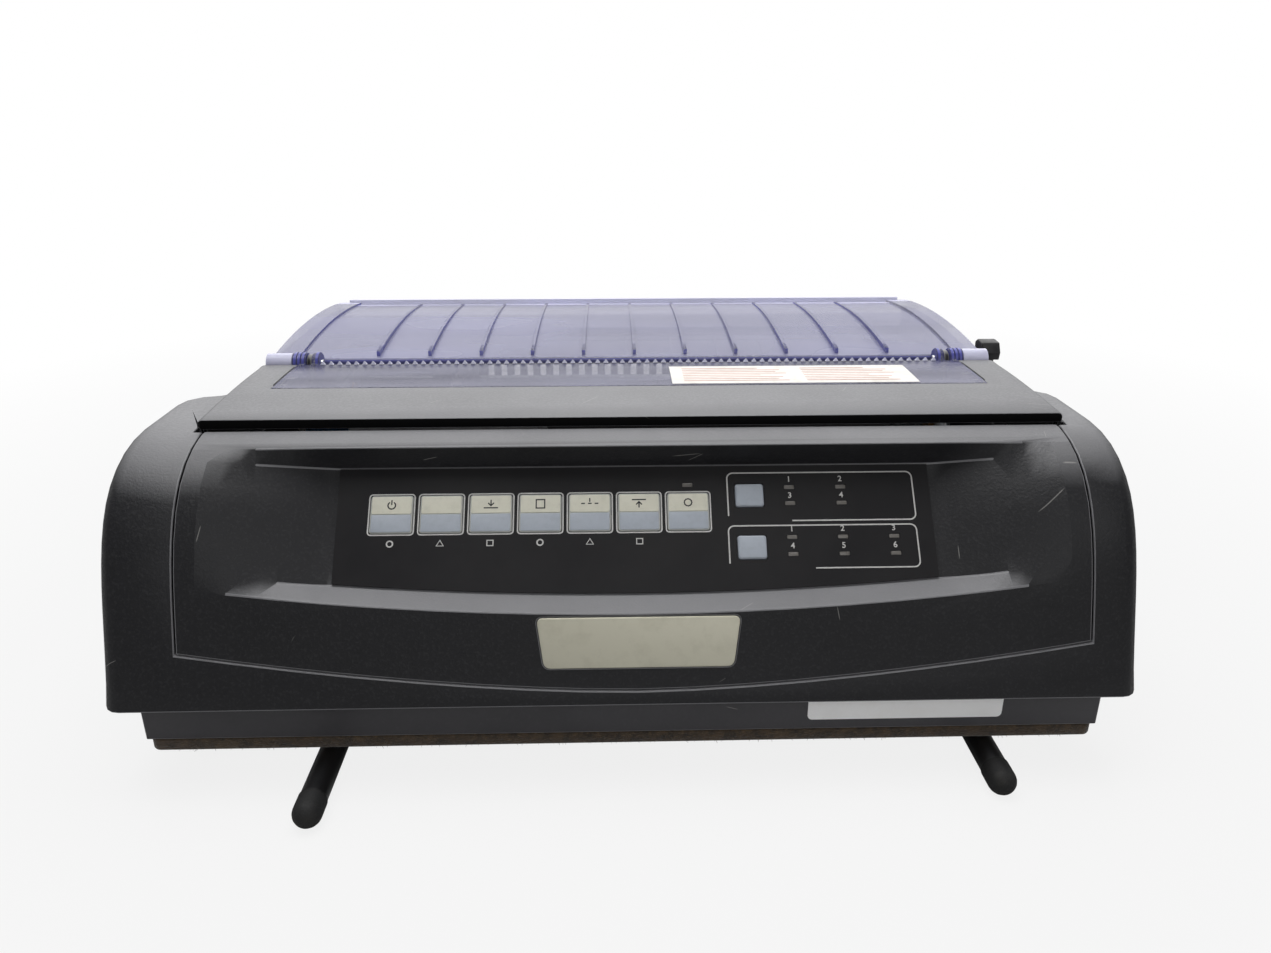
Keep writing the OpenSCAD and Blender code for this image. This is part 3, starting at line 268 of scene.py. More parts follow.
def vinyl_label(name, colour, stain, soiling):
    """Pressure-sensitive label stock, faintly yellowed, soiled towards its rubbed parts."""
    look = Look(name, Roughness=0.4, IOR=1.46)
    soil = look.blobs(11.0, 6.0, 0.66)
    fibre = look.blobs(0.6)
    return look.feed(Base_Color=look.blend(soil, 0.48, 0.82, colour, stain, soiling),
                     Roughness=look.put(RAMP, [soil, 0.3, 0.8, 0.34, 0.6]),
                     Normal=look.put(BUMP, {"Height": fibre, "Distance": 0.01 * MM, "Strength": 0.35}))


def printing_ink(name, colour):
    """Screen-printed ink: matt, slightly uneven in cover."""
    look = Look(name, Roughness=0.6)
    return look.feed(Base_Color=look.blend(look.blobs(0.8, 3.0), 0.3, 0.8, colour, shade(colour, 0.8)))


def ground_metal(name, colour, roughness, along=(1, 1, 1)):
    """Ground, drawn or rolled metal: fine lines left along the way it was worked."""
    look = Look(name, Metallic=1.0)
    lines = look.blobs(0.25, 2.0, 0.6, along)
    return look.feed(Base_Color=look.blend(look.blobs(14.0, 3.0), 0.35, 0.7, colour, shade(colour, 0.86)),
                     Roughness=look.put(RAMP, [lines, 0.25, 0.75, roughness - 0.07, roughness + 0.1]),
                     Normal=look.put(BUMP, {"Height": lines, "Distance": 0.004 * MM, "Strength": 0.6}))


def zinc_sheet(name):
    """Zinc-plated pressed steel: dull blue-grey with spangle cells a few millimetres across."""
    look = Look(name, Metallic=1.0)
    cells = look.put("ShaderNodeTexVoronoi", {"Vector": look.coords, "Scale": 0.22})
    spangle = look.put("ShaderNodeSeparateColor", [cells.outputs["Color"]])
    skin = look.blobs(1.5, 3.0)
    return look.feed(
        Base_Color=look.put(MIX, [spangle, srgb("#8f9296"), srgb("#b3b6b8")], data_type="RGBA"),
        Roughness=look.put(RAMP, [spangle, 0.0, 1.0, 0.34, 0.5]),
        Normal=look.put(BUMP, {"Height": skin, "Distance": 0.01 * MM, "Strength": 0.4}))


def moulded_rubber(name, colour, grain, dust):
    """Nitrile or EPDM rubber: nearly matt, faintly ground, with dust held in its skin."""
    look = Look(name, Roughness=0.75, IOR=1.52)
    skin = look.blobs(grain, 3.0, 0.6)
    held = look.blobs(12.0, 5.0, 0.65)
    return look.feed(Base_Color=look.blend(held, 0.5, 0.8, colour, srgb("#6e6960"), dust),
                     Roughness=look.put(RAMP, [skin, 0.3, 0.7, 0.62, 0.85]),
                     Normal=look.put(BUMP, {"Height": skin, "Distance": 0.02 * MM, "Strength": 0.5}))


def satin_enamel(name, colour):
    """Stoved enamel on steel, satin black with small chips and hand marks."""
    look = Look(name, IOR=1.5, Coat_Weight=0.3, Coat_Roughness=0.3)
    chips, hands, skin = look.blobs(2.6, 5.0, 0.7), look.blobs(22.0, 4.0), look.blobs(0.8)
    return look.feed(Base_Color=look.blend(chips, 0.73, 0.76, colour, srgb("#5d5c5a")),
                     Roughness=look.put(RAMP, [hands, 0.3, 0.7, 0.34, 0.55]),
                     Normal=look.put(BUMP, {"Height": skin, "Distance": 0.01 * MM, "Strength": 0.4}))


def dusty_felt(name):
    """Needle-punched felt pad, dark brown, matted with lint and dust along its edges."""
    look = Look(name, Roughness=0.95, Sheen_Weight=0.4)
    fibres = look.blobs(0.5, 4.0, 0.7, (3, 1, 1))
    dark = look.blend(look.blobs(5.0, 5.0, 0.7), 0.35, 0.7, srgb("#2a221b"), srgb("#54432f"))
    return look.feed(Base_Color=look.blend(fibres, 0.55, 0.8, dark, srgb("#7b684c")),
                     Normal=look.put(BUMP, {"Height": fibres, "Distance": 0.5 * MM, "Strength": 0.9}))


def glass_laminate(name):
    """Epoxy glass laminate under green solder mask, copper tracks showing as a lighter green."""
    look = Look(name, Roughness=0.3, IOR=1.55)
    black, white = (0, 0, 0, 1), (1, 1, 1, 1)
    tracks = look.put("ShaderNodeTexBrick", {
        "Vector": look.coords, "Scale": 0.35, "Color1": black, "Color2": black, "Mortar": white,
        "Mortar Size": 0.06, "Brick Width": 3.1, "Row Height": 0.7})
    return look.feed(
        Base_Color=look.put(MIX, [tracks, srgb("#16402a"), srgb("#2c6a43")], data_type="RGBA"),
        Normal=look.put(BUMP, {"Height": tracks, "Distance": 0.03 * MM, "Strength": 0.6}))


def inked_fabric(name):
    """Woven nylon ribbon soaked in black ink, with a fine diagonal sheen from the weave."""
    look = Look(name, Roughness=0.5, Sheen_Weight=0.3)
    weave = look.put("ShaderNodeTexWave", {"Vector": look.coords, "Scale": 1.6, "Distortion": 0.4},
                     bands_direction="DIAGONAL").outputs["Fac"]
    return look.feed(
        Base_Color=look.put(MIX, [weave, srgb("#0e0e12"), srgb("#24242c")], data_type="RGBA"),
        Normal=look.put(BUMP, {"Height": weave, "Distance": 0.06 * MM, "Strength": 0.6}))


# the finishes by what makes them, each with its values; a colour is an sRGB code, the name of one of
# the printer's colours, or that name with a factor that shades it
FINISHES = {
    textured_abs: {
        "charcoal_textured_abs": ("shell", "dust", 0.65),
        # the lower case's charcoal is lightened: painted light standing in for the light its downward faces
        # lack
        "charcoal_smooth_tray_abs": ("tray", "dust", 0.3, 2.2, 0.06),
    },
    smooth_moulding: {
        # paler: wear and painted edge highlight on the bevelled shell edges
        "edge_burnished_abs": ("#6f6f72", 0.34),
        # near-black: painted shadow on the access cover's front wall
        "black_polished_lip_abs": ("#060607", 0.7, 0.08),
        "black_glass_filled_pbt": ("#1b1b1d", 0.42),
        "natural_acetal": ("#d9d4c4", 0.36),
        "blue_acetal_knob": ("#2b5f8a", 0.5, 0.25),
        "black_polystyrene_cartridge": ("#17181a", 0.6, 0.12),
        "smoked_lamp_window": ("#6b6864", 0.3),
        # pale: painted glints on the window's front bead and tear teeth
        "polished_polycarbonate_rim": ("#d4d4ea", 0.2),
        "yellow_winding_tape": ("#b08a2c",),
        "blue_sleeved_capacitor": ("#20304f",),
        "brown_mains_lead_pvc": ("#4a2a18", 0.42),
        "blue_mains_lead_pvc": ("#23407a", 0.42),
        "switch_leads_pvc": ("#1b1b1c", 0.42),
        "motor_leads_pvc": ("#7b7d80", 0.42),
        "flat_cable_pvc": ("#8d8e90", 0.42),
    },
    keycap_abs: {
        "pale_grey_key_abs": ("key_frame",),
        "cream_key_inlay_abs": ("key_cream",),
        "grey_blue_key_inlay_abs": ("key_blue",),
    },
    tinted_polycarbonate: {
        "violet_tinted_polycarbonate": ("clear", 0.2, 0.6),
        # deeper violet: painted shade on the clear parts' edges and rib sides
        "violet_polycarbonate_edge_on": ("knuckle", 0.15, 0.35),
        "violet_window_polycarbonate": (("clear", 0.62), 0.3, 0.66, 16.0, 7.0),
        "deep_violet_polycarbonate": ("knuckle", 0.2, 0.25),
        # pale: painted highlight on the separator's rear rim and hinge bosses
        "frosted_polycarbonate_rim": ("#cfcfe6", 0.15, 0.3),
    },
    printed_film: {"printed_polyester_film": ("panel", 0.04)},
    vinyl_label: {
        "cream_anodised_name_plate": ("plate", "#8f8a76", 0.35),
        "white_label_stock": ("label", "#9a8a66", 0.35),
        "white_serial_label_stock": ("#ffffff", "#9a8a66", 0.1),
    },
    printing_ink: {
        "pale_panel_ink": ("ink",),
        "dark_key_ink": ("#2c2c2e",),
        "pale_red_ink": ("#e0a59a",),
    },
    ground_metal: {
        "sintered_bronze": ("#b58a4c", 0.4),
        "ground_steel_rod": ("#a9abac", 0.24, (14, 1, 1)),
        "rolled_motor_can": ("#9a9c9e", 0.34, (1, 1, 10)),
        "die_cast_aluminium": ("#8e9194", 0.42),
        "turned_aluminium": ("#b9bbbd", 0.28),
        "tin_plated_shell": ("#a8a9a6", 0.3),
        "zinc_plated_screw": ("#b9b7ab", 0.3),
    },
    zinc_sheet: {"zinc_plated_sheet": ()},
    moulded_rubber: {
        "black_nitrile_caps": ("#0d0d0e", 0.4, 0.1),
        "black_window_gasket": ("#0c0c10", 0.4, 0.05),
        "ground_nitrile_roller": ("#242426", 0.5, 0.15),
        "black_neoprene_belt": ("#1c1c1d", 0.3, 0.1),
    },
    satin_enamel: {
        "satin_black_enamel": ("#0e0e10",),
        "transformer_iron": ("#2b2724",),
        "black_anodised_heat_sink": ("#161617",),
    },
    dusty_felt: {"needled_felt_pad": ()},
    glass_laminate: {"green_glass_laminate": ()},
    inked_fabric: {"inked_nylon_ribbon": ()},
}
MADE = {}


def plain(value):
    """A value of FINISHES with its colour, if it is one, as linear RGBA."""
    if isinstance(value, tuple) and isinstance(value[0], str):
        return shade(plain(value[0]), value[1])
    if isinstance(value, str):
        return srgb(value) if value[0] == "#" else tuple(getattr(bpy.context.scene.printer_colours, value))
    return value


def finish(name):
    """The material of one of the FINISHES, made once."""
    if name not in MADE:
        make, values = next((make, group[name]) for make, group in FINISHES.items() if name in group)
        MADE[name] = make(name, *map(plain, values))
    return MADE[name]


# ---------- meshes ----------

def body_of(node):
    return next(body for body, nodes in frame["record"]["behaviour"]["bodies"].items() if node in nodes)


def local_box(node, matrix):
    """A node's lowest and highest corners at rest, in the millimetres of matrix."""
    return [matrix.inverted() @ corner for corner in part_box(node)]


def link(name, data):
    obj = bpy.data.objects.new(name, data)
    bpy.context.scene.collection.objects.link(obj)
    return obj


def baked_mesh(obj):
    """The evaluated shape of an object as a plain mesh."""
    bpy.context.view_layer.update()
    return bpy.data.meshes.new_from_object(obj.evaluated_get(bpy.context.evaluated_depsgraph_get()))


def apply_modifiers(obj):
    baked = baked_mesh(obj)
    obj.modifiers.clear()
    obj.data = baked


def mesh_from(bm, name):
    mesh = bpy.data.meshes.new(name)
    bm.to_mesh(mesh)
    bm.free()
    return mesh


def attach(obj, node):
    """Makes a piece ride with a CAD node."""
    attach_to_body(obj, body_of(node))
    return obj


def finish_piece(bm, name, node, materials, matrix=None, bevel=0.0, segments=2, angle=30.0,
                 worn_and_highlit_edge=False, crease=None):
    """Makes a bmesh, in millimetres under matrix, a smooth piece attached to a node. Materials are
    names in FINISHES; where asked, the last one is laid on the bevelled edges: a paler colour for wear and
    painted edge highlight."""
    mesh = mesh_from(bm, name)
    if matrix is not None:
        mesh.transform(matrix)
    for material in materials:
        mesh.materials.append(finish(material))
    obj = link(name, mesh)
    mesh.shade_smooth()
    if bevel:
        if crease:
            mesh.set_sharp_from_angle(angle=math.radians(crease))
        edge = obj.modifiers.new("edge", "BEVEL")
        edge.width = bevel * MM
        edge.segments = segments
        edge.limit_method = "ANGLE"
        edge.angle_limit = math.radians(angle)
        edge.harden_normals = True
        edge.use_clamp_overlap = False
        if worn_and_highlit_edge:
            edge.material = len(materials) - 1
        apply_modifiers(obj)
    else:
        mesh.set_sharp_from_angle(angle=math.radians(angle))
    return attach(obj, node)


def merged_copy(node):
    """A CAD node's mesh with its loose triangles merged into flat faces."""
    bm = bmesh.new()
    bm.from_mesh(frame["nodes"][node].data)
    bmesh.ops.remove_doubles(bm, verts=bm.verts, dist=2e-6)
    bmesh.ops.dissolve_degenerate(bm, edges=bm.edges, dist=1e-5)
    bmesh.ops.dissolve_limit(bm, angle_limit=math.radians(0.4), verts=bm.verts, edges=bm.edges)
    bmesh.ops.join_triangles(bm, faces=bm.faces, angle_face_threshold=math.radians(12),
                             angle_shape_threshold=math.radians(60))
    return bm


def dressed_copy(node, material, bevel=0.3, angle=32.0, worn_and_highlit=None, **more):
    """A smooth piece with rounded edges for one CAD node; if a pale edge material is given, its bevelled
    edges take it, as wear and painted edge highlight.
    """
    piece = finish_piece(merged_copy(node), node + "_piece", node, [material, worn_and_highlit] if worn_and_highlit else [material],
                         bevel=bevel, angle=angle, worn_and_highlit_edge=worn_and_highlit is not None, **more)
    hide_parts(node)
    return piece


def dress(material, bevel, *nodes):
    """Dressed copies of nodes of one material, their edges rounded by bevel millimetres."""
    for node in nodes:
        dressed_copy(node, material, bevel)


def paint_faces(obj, material, wanted):
    """Gives a second material to the faces that wanted() picks."""
    obj.data.materials.append(finish(material))
    index = len(obj.data.materials) - 1
    for face in obj.data.polygons:
        if wanted(face):
            face.material_index = index


def rounded_outline(w, h, r, corner=5, centre=(0, 0)):
    """Corner points of a rounded rectangle w by h, from the right side's upper end anticlockwise."""
    points = []
    for quarter, (sx, sy) in enumerate(((1, 1), (-1, 1), (-1, -1), (1, -1))):
        for i in range(corner + 1):
            a = math.radians(90 * quarter + 90 * i / corner)
            points.append((centre[0] + sx * (w / 2 - r) + r * math.cos(a),
                           centre[1] + sy * (h / 2 - r) + r * math.sin(a)))
    return points


def bridge(bm, rings, index=0, caps=True):
    """Joins closed rings of vertices in turn by faces, and closes the two ends if caps is true."""
    faces = [bm.faces.new(rings[0][::-1]), bm.faces.new(rings[-1])] if caps else []
    count = len(rings[0])
    for lower, upper in zip(rings, rings[1:]):
        faces += [bm.faces.new((lower[i], lower[(i + 1) % count], upper[(i + 1) % count], upper[i]))
                  for i in range(count)]
    for face in faces:
        face.material_index = index


def add_prism(bm, outline, low, high, index=0, crown=0.0):
    """Adds a closed prism over an outline, its top edge chamfered by crown."""
    centre = [sum(p[k] for p in outline) / len(outline) for k in (0, 1)]
    half = [max(abs(p[k] - centre[k]) for p in outline) for k in (0, 1)]

    def ring(z, inwards):
        places = [[c + (q - c) * (h - inwards) / h for q, c, h in zip(p, centre, half)] for p in outline]
        return [bm.verts.new((*place, z)) for place in places]

    rings = [ring(low, 0.0), ring(high - crown, 0.0)]
    if crown:
        rings += [ring(high - crown * 0.3, crown * 0.3), ring(high, crown)]
    bridge(bm, rings, index)


def add_tile(bm, place, size, low, high, r, index=0, crown=0.0):
    add_prism(bm, rounded_outline(*size, r, centre=place), low, high, index, crown)


def add_tube(bm, points, radius, sides=10):
    """Adds a closed round tube along points."""
    points = [Vector(p) for p in points]
    rings = []
    side = None
    for i, point in enumerate(points):
        along = (points[min(i + 1, len(points) - 1)] - points[max(i - 1, 0)]).normalized()
        side = (side - along * side.dot(along)) if side else along.orthogonal()
        side.normalize()
        other = along.cross(side)
        rings.append([bm.verts.new(point + radius * (math.cos(a) * side + math.sin(a) * other))
                      for a in (2 * math.pi * k / sides for k in range(sides))])
    bridge(bm, rings)


def add_stroke(bm, start, end, width, base, index):
    """A thin printed bar from start to end on a key's top."""
    start, end = Vector(start), Vector(end)
    along = (end - start).normalized() * width / 2
    side = Vector((-along.y, along.x))
    corners = [start - along - side, end + along - side, end + along + side, start - along + side]
    add_prism(bm, [tuple(c) for c in corners], base - 0.02, base + 0.05, index)


def bent_path(points, radius=6.0, steps=5):
    """Points of a polyline whose corners are rounded by quadratic arcs."""
    points = [Vector(p) for p in points]
    path = [points[0]]
    for a, b, c in zip(points, points[1:], points[2:]):
        r = min(radius, (b - a).length / 2, (c - b).length / 2)
        start, end = b + (a - b).normalized() * r, b + (c - b).normalized() * r
        path += [start.lerp(b, t).lerp(b.lerp(end, t), t) for t in (k / steps for k in range(steps + 1))]
    return path + [points[-1]]


def ring_points(radius, start=0.0, sweep=360.0, sides=12):
    angles = [math.radians(start + sweep * k / sides) for k in range(sides + 1)]
    return [(radius * math.cos(a), radius * math.sin(a)) for a in angles]


# ---------- geometry nodes ----------

ALIGN = "FunctionNodeAlignRotationToVector"


class Shape(Nodes):
    """A geometry tree with named size inputs, which ends in Realize Instances and Set Material."""

    def __init__(self, name, material, *sizes):
        super().__init__(bpy.data.node_groups.new(name, "GeometryNodeTree"))
        self.material = finish(material)
        sockets = self.tree.interface
        sockets.new_socket("Geometry", in_out="INPUT", socket_type="NodeSocketGeometry")
        for size in sizes:
            sockets.new_socket(size, in_out="INPUT", socket_type="NodeSocketFloat")
        sockets.new_socket("Geometry", in_out="OUTPUT", socket_type="NodeSocketGeometry")
        start = self.put("NodeGroupInput")
        self.geometry, *self.sizes = start.outputs[:len(sizes) + 1]

    def instances(self, points, shape, turned, **more):
        """Puts a turned copy of shape on each point and ends the tree."""
        return self.close(self.put("GeometryNodeInstanceOnPoints", {
            "Points": points, "Instance": shape, "Rotation": turned, **more}))

    def close(self, geometry):
        whole = self.put("GeometryNodeRealizeInstances", {0: geometry})
        finished = self.put("GeometryNodeSetMaterial", {"Geometry": whole, "Material": self.material})
        self.put("NodeGroupOutput", {0: finished})
        return self.tree


def run_tree(mesh, tree, values, node, matrix, smooth=30.0, name=None):
    """Runs a tree over a mesh in millimetres; the result is a plain piece attached to a node."""
    obj = link(name or mesh.name, mesh)
    modifier = obj.modifiers.new("tree", "NODES")
    modifier.node_group = tree
    for item in tree.interface.items_tree:
        if item.in_out == "INPUT" and item.name in values:
            modifier[item.identifier] = values[item.name]
    apply_modifiers(obj)
    obj.data.transform(matrix)
    obj.data.shade_smooth()
    obj.data.set_sharp_from_angle(angle=math.radians(smooth))
    return attach(obj, node)


def line_mesh(name, polylines):
    """A mesh of loose edges, one chain for each polyline; a chain closes where it ends at its start."""
    vertices, edges = [], []
    for line in polylines:
        first = len(vertices)
        closed = len(line) > 2 and (Vector(line[0]) - Vector(line[-1])).length < 1e-6
        kept = line[:-1] if closed else line
        vertices += [tuple(p) for p in kept]
        edges += [(first + i, first + i + 1) for i in range(len(kept) - 1)]
        if closed:
            edges.append((first + len(kept) - 1, first))
    mesh = bpy.data.meshes.new(name)
    mesh.from_pydata(vertices, edges, [])
    return mesh


def printed_lines(material):
    """Flat printed strokes along the edges of a line drawing."""
    shape = Shape("printed_line", material, "Stroke Width", "Thickness")
    width, thickness = shape.sizes
    curve = shape.put("GeometryNodeMeshToCurve", {0: shape.geometry})
    level = shape.put("GeometryNodeSetCurveNormal", {0: curve}, mode="Z_UP")
    profile = shape.put("GeometryNodeCurvePrimitiveQuadrilateral", {"Width": width, "Height": thickness})
    return shape.close(shape.put("GeometryNodeCurveToMesh", {0: level, 1: profile, "Fill Caps": True}))


def pan_head_screws(material):
    """Pan-head screws with a cross recess, one on each point, turned to the point's attribute out."""
    shape = Shape("pan_head_screws", material, "Head Diameter", "Head Height")
    diameter, height = shape.sizes
    radius = shape.put(MATHS, [diameter, 0.5], operation="MULTIPLY")
    disc = shape.put("GeometryNodeMeshCylinder", {"Vertices": 24, "Radius": radius, "Depth": height})
    top = shape.put("GeometryNodeExtrudeMesh", {"Mesh": disc, "Selection": disc.outputs["Top"],
                                                "Offset Scale": 0.35})
    crown = shape.put("GeometryNodeScaleElements", {"Geometry": top, "Selection": top.outputs["Top"],
                                                    "Scale": 0.72})
    cut = shape.put("GeometryNodeMeshBoolean", {0: crown}, operation="DIFFERENCE")
    slot_width, slot_depth = 0.55, 2.4
    for turn in (0.0, math.pi / 2):
        slot_length = shape.put(MATHS, [diameter, 0.52], operation="MULTIPLY")
        size = shape.put("ShaderNodeCombineXYZ", [slot_length, slot_width, slot_depth])
        blade = shape.put("GeometryNodeMeshCube", {"Size": size})
        top_middle = shape.put("ShaderNodeCombineXYZ", {"Z": height})
        placed = shape.put("GeometryNodeTransform", {"Geometry": blade, "Rotation": (0, 0, turn),
                                                     "Translation": top_middle})
        shape.join(placed, cut.inputs[1])
    out = shape.put("GeometryNodeInputNamedAttribute", {"Name": "out"}, data_type="FLOAT_VECTOR")
    turned = shape.put(ALIGN, {"Vector": out}, axis="Z")
    return shape.instances(shape.geometry, cut, turned)


def teeth_along(name, material, pointed):
    """Small square or pointed teeth at even steps along a path."""
    shape = Shape(name, material, "Pitch", "Width", "Height", "Length")
    pitch, width, height, length = shape.sizes
    curve = shape.put("GeometryNodeMeshToCurve", {0: shape.geometry})
    steps = shape.put("GeometryNodeResampleCurve", {"Curve": curve, "Length": pitch}, mode="LENGTH")
    turned = shape.put(ALIGN, {"Vector": shape.put("GeometryNodeInputTangent")}, axis="X")
    if pointed:
        cone = shape.put("GeometryNodeMeshCone", {"Vertices": 4, "Radius Top": 0.12, "Radius Bottom": 0.71,
                                                  "Depth": 1.0})
        tooth = shape.put("GeometryNodeTransform", {"Geometry": cone, "Rotation": (0, 0, math.pi / 4)})
    else:
        tooth = shape.put("GeometryNodeMeshCube")
    size = shape.put("ShaderNodeCombineXYZ", [width, length, height])
    return shape.instances(steps, tooth, turned, Scale=size)


def felt_fringe(material, seed):
    """Short fibres that stick out of a mesh's faces at random, as at the cut edge of felt."""
    shape = Shape("felt_fringe", material, "Density", "Fibre Length", "Fibre Thickness")
    density, length, thickness = shape.sizes
    points = shape.put("GeometryNodeDistributePointsOnFaces",
                       {"Mesh": shape.geometry, "Density": density, "Seed": seed})
    lean = shape.put("FunctionNodeRandomValue", {0: (-0.7,) * 3, 1: (0.7,) * 3, "Seed": seed + 1},
                     data_type="FLOAT_VECTOR")
    leaned = shape.put(VECTORS, [points.outputs["Normal"], lean], operation="ADD")
    fibre = shape.put("GeometryNodeMeshCone", {"Vertices": 3, "Radius Top": 0.3, "Radius Bottom": 1.0,
                                               "Depth": 1.0})
    spread = shape.put("FunctionNodeRandomValue", {2: 0.4, 3: 1.0, "Seed": seed + 2}, data_type="FLOAT")
    size = shape.put("ShaderNodeCombineXYZ", [thickness, thickness, length])
    scaled = shape.put(VECTORS, [size, spread], operation="SCALE")
    turned = shape.put(ALIGN, {"Vector": leaned}, axis="Z")
    return shape.instances(points, fibre, turned, Scale=scaled)


# ---------- sizes and colours a user may change ----------

def size_property(name, description, default, low, high):
    return FloatProperty(name=name, description=description, default=default, min=low, max=high)


def colour_property(name, description, code):
    return FloatVectorProperty(name=name, description=description, subtype="COLOR", size=4, min=0.0, max=1.0,
                               default=srgb(code))


class PrinterSizes(bpy.types.PropertyGroup):
    """Sizes of the finish, in millimetres."""
    shell_edge: size_property("Shell Edge", "Rounding of the moulded shells' edges, mm", 0.5, 0.0, 1.5)
    key_crown: size_property("Key Crown", "Rounding of a key cap's top edge, mm", 0.45, 0.1, 1.0)
    stroke: size_property("Print Stroke", "Width of the panel's printed lines, mm", 0.55, 0.2, 1.2)
    ink: size_property("Ink Thickness", "Height of printed marks over their film, mm", 0.06, 0.02, 0.2)
    screw_head: size_property("Screw Head", "Diameter of the pan-head screws, mm", 5.6, 4.0, 7.0)
    tooth_pitch: size_property("Tear Tooth Pitch", "Distance between the tear bar's teeth, mm", 4.0, 1.5, 6.0)
    belt_pitch: size_property("Belt Pitch", "Distance between the drive belt's teeth, mm", 2.0, 1.5, 3.0)
    fibre: size_property("Felt Fibre", "Length of the felt pad's loose fibres, mm", 1.5, 0.5, 3.0)
    fibre_density: size_property("Felt Fibre Density", "Loose fibres per square millimetre", 1.1, 0.1, 4.0)
    seed: IntProperty(name="Felt Seed", description="Seed of the felt's loose fibres", default=4, min=0)


class PrinterColours(bpy.types.PropertyGroup):
    """Colours of the printer's finishes."""
    shell: colour_property("Shell", "Charcoal of the upper shells", "#1c1c1f")
    # lighter than the shell: painted light for the lower case's dim, downward faces
    tray: colour_property("Tray", "Charcoal of the lower case", "#464548")
    # the dust colour is also painted sheen: laid on what faces up, it lightens the shells' tops
    dust: colour_property("Dust", "Dust lying on the shells", "#9b9b9e")
    panel: colour_property("Panel Film", "Film of the key panel", "#141316")
    ink: colour_property("Panel Ink", "Pale ink on the key panel", "#c9c8c6")
    key_frame: colour_property("Key Frame", "Frame of a key cap", "#b4b6b2")
    key_cream: colour_property("Key Cream", "Upper inlay of a main key", "#d8d6c6")
    key_blue: colour_property("Key Blue", "Lower inlay of a main key and the mode keys", "#a4abb5")
    plate: colour_property("Name Plate", "Bare name plate", "#c8c5b3")
    label: colour_property("Label", "Stock of the paper labels", "#ebe9e3")
    clear: colour_property("Clear Covers", "Tint of the polycarbonate covers", "#8080a0")
    # also the colour of the painted shade on the clear parts' edges and rib sides
    knuckle: colour_property("Knuckles", "Tint of the thick hinge knuckles", "#5557a4")


def sizes():
    return bpy.context.scene.printer_sizes


# ---------- operators ----------

class PieceOperator:
    """What every piece operator shares: it works in object mode and can be undone."""
    bl_options = {"REGISTER", "UNDO"}

    @classmethod
    def poll(cls, context):
        return context.mode == "OBJECT"


class PRINTER_OT_shells(PieceOperator, bpy.types.Operator):
    """Lower case, upper case, front bezel and access cover with rounded edges and moulded grain"""
    bl_idname = "printer.shells"
    bl_label = "Moulded Shells"

    def execute(self, context):
        # the bevelled edges get a paler colour: wear and painted edge highlight
        rounding = {"bevel": sizes().shell_edge, "angle": 38.0, "worn_and_highlit": "edge_burnished_abs"}
        shell = "charcoal_textured_abs"
        dressed_copy("upper_case", shell, segments=3, **rounding)
        dressed_copy("front_bezel", shell, segments=3, crease=17.0, **rounding)
        cover = dressed_copy("access_cover", shell, segments=3, **rounding)
        # the cover's front wall is painted near-black: painted shadow of the gap under its front edge
        paint_faces(cover, "black_polished_lip_abs", lambda face: face.normal.y < -0.8)
        dressed_copy("lower_case", "charcoal_smooth_tray_abs", **rounding)
        return {"FINISHED"}


class PRINTER_OT_feet(PieceOperator, bpy.types.Operator):
    """Felt pad with a frayed edge, and the two enamelled rails with their rubber caps and clips"""
    bl_idname = "printer.feet"
    bl_label = "Pad and Rails"
    rim_inset = 0.6
    rim_corner = 8.0
    rim_levels = (0.2, 3.4)

    def execute(self, context):
        dress("needled_felt_pad", 0.8, "base_pad")
        dress("satin_black_enamel", 0.0, "foot_rails")
        dress("black_nitrile_caps", 0.0, "rail_caps")
        dress("black_glass_filled_pbt", 0.3, "rail_clips")
        self.fringe()
        return {"FINISHED"}

    def fringe(self):
        """Loose fibres along the pad's lower rim."""
        low, high = local_box("base_pad", CASE)
        size = [high[k] - low[k] - 2 * self.rim_inset for k in (0, 1)]
        centre = [(high[k] + low[k]) / 2 for k in (0, 1)]
        rim = rounded_outline(*size, self.rim_corner, centre=centre)
        bm = bmesh.new()
        bridge(bm, [[bm.verts.new((*p, z)) for p in rim] for z in self.rim_levels], caps=False)
        values = {"Density": sizes().fibre_density, "Fibre Length": sizes().fibre, "Fibre Thickness": 0.12}
        run_tree(mesh_from(bm, "felt_fringe"), felt_fringe("needled_felt_pad", sizes().seed), values,
                 "base_pad", CASE, smooth=60.0)


# plain signs, as strokes round the middle of each main key's upper inlay, mm
KEY_SIGNS = [
    [ring_points(1.5, 130, 280), [(0, 0.4), (0, 2.0)]],
    [],
    [[(-2.6, -1.4), (2.6, -1.4)], [(0, 1.7), (0, -0.5)], [(-1.0, 0.5), (0, -0.5), (1.0, 0.5)]],
    [[(-1.7, -1.7), (-1.7, 1.8), (1.7, 1.8), (1.7, -1.7), (-1.7, -1.7)]],
    [[(-3.2, 0), (-2.2, 0)], [(-0.5, 0), (0.5, 0)], [(2.2, 0), (3.2, 0)], [(0, 0.9), (0, 2.0)]],
    [[(-2.6, 1.4), (2.6, 1.4)], [(0, -1.7), (0, 0.5)], [(-1.0, -0.5), (0, 0.5), (1.0, -0.5)]],
    [ring_points(1.5)],
]


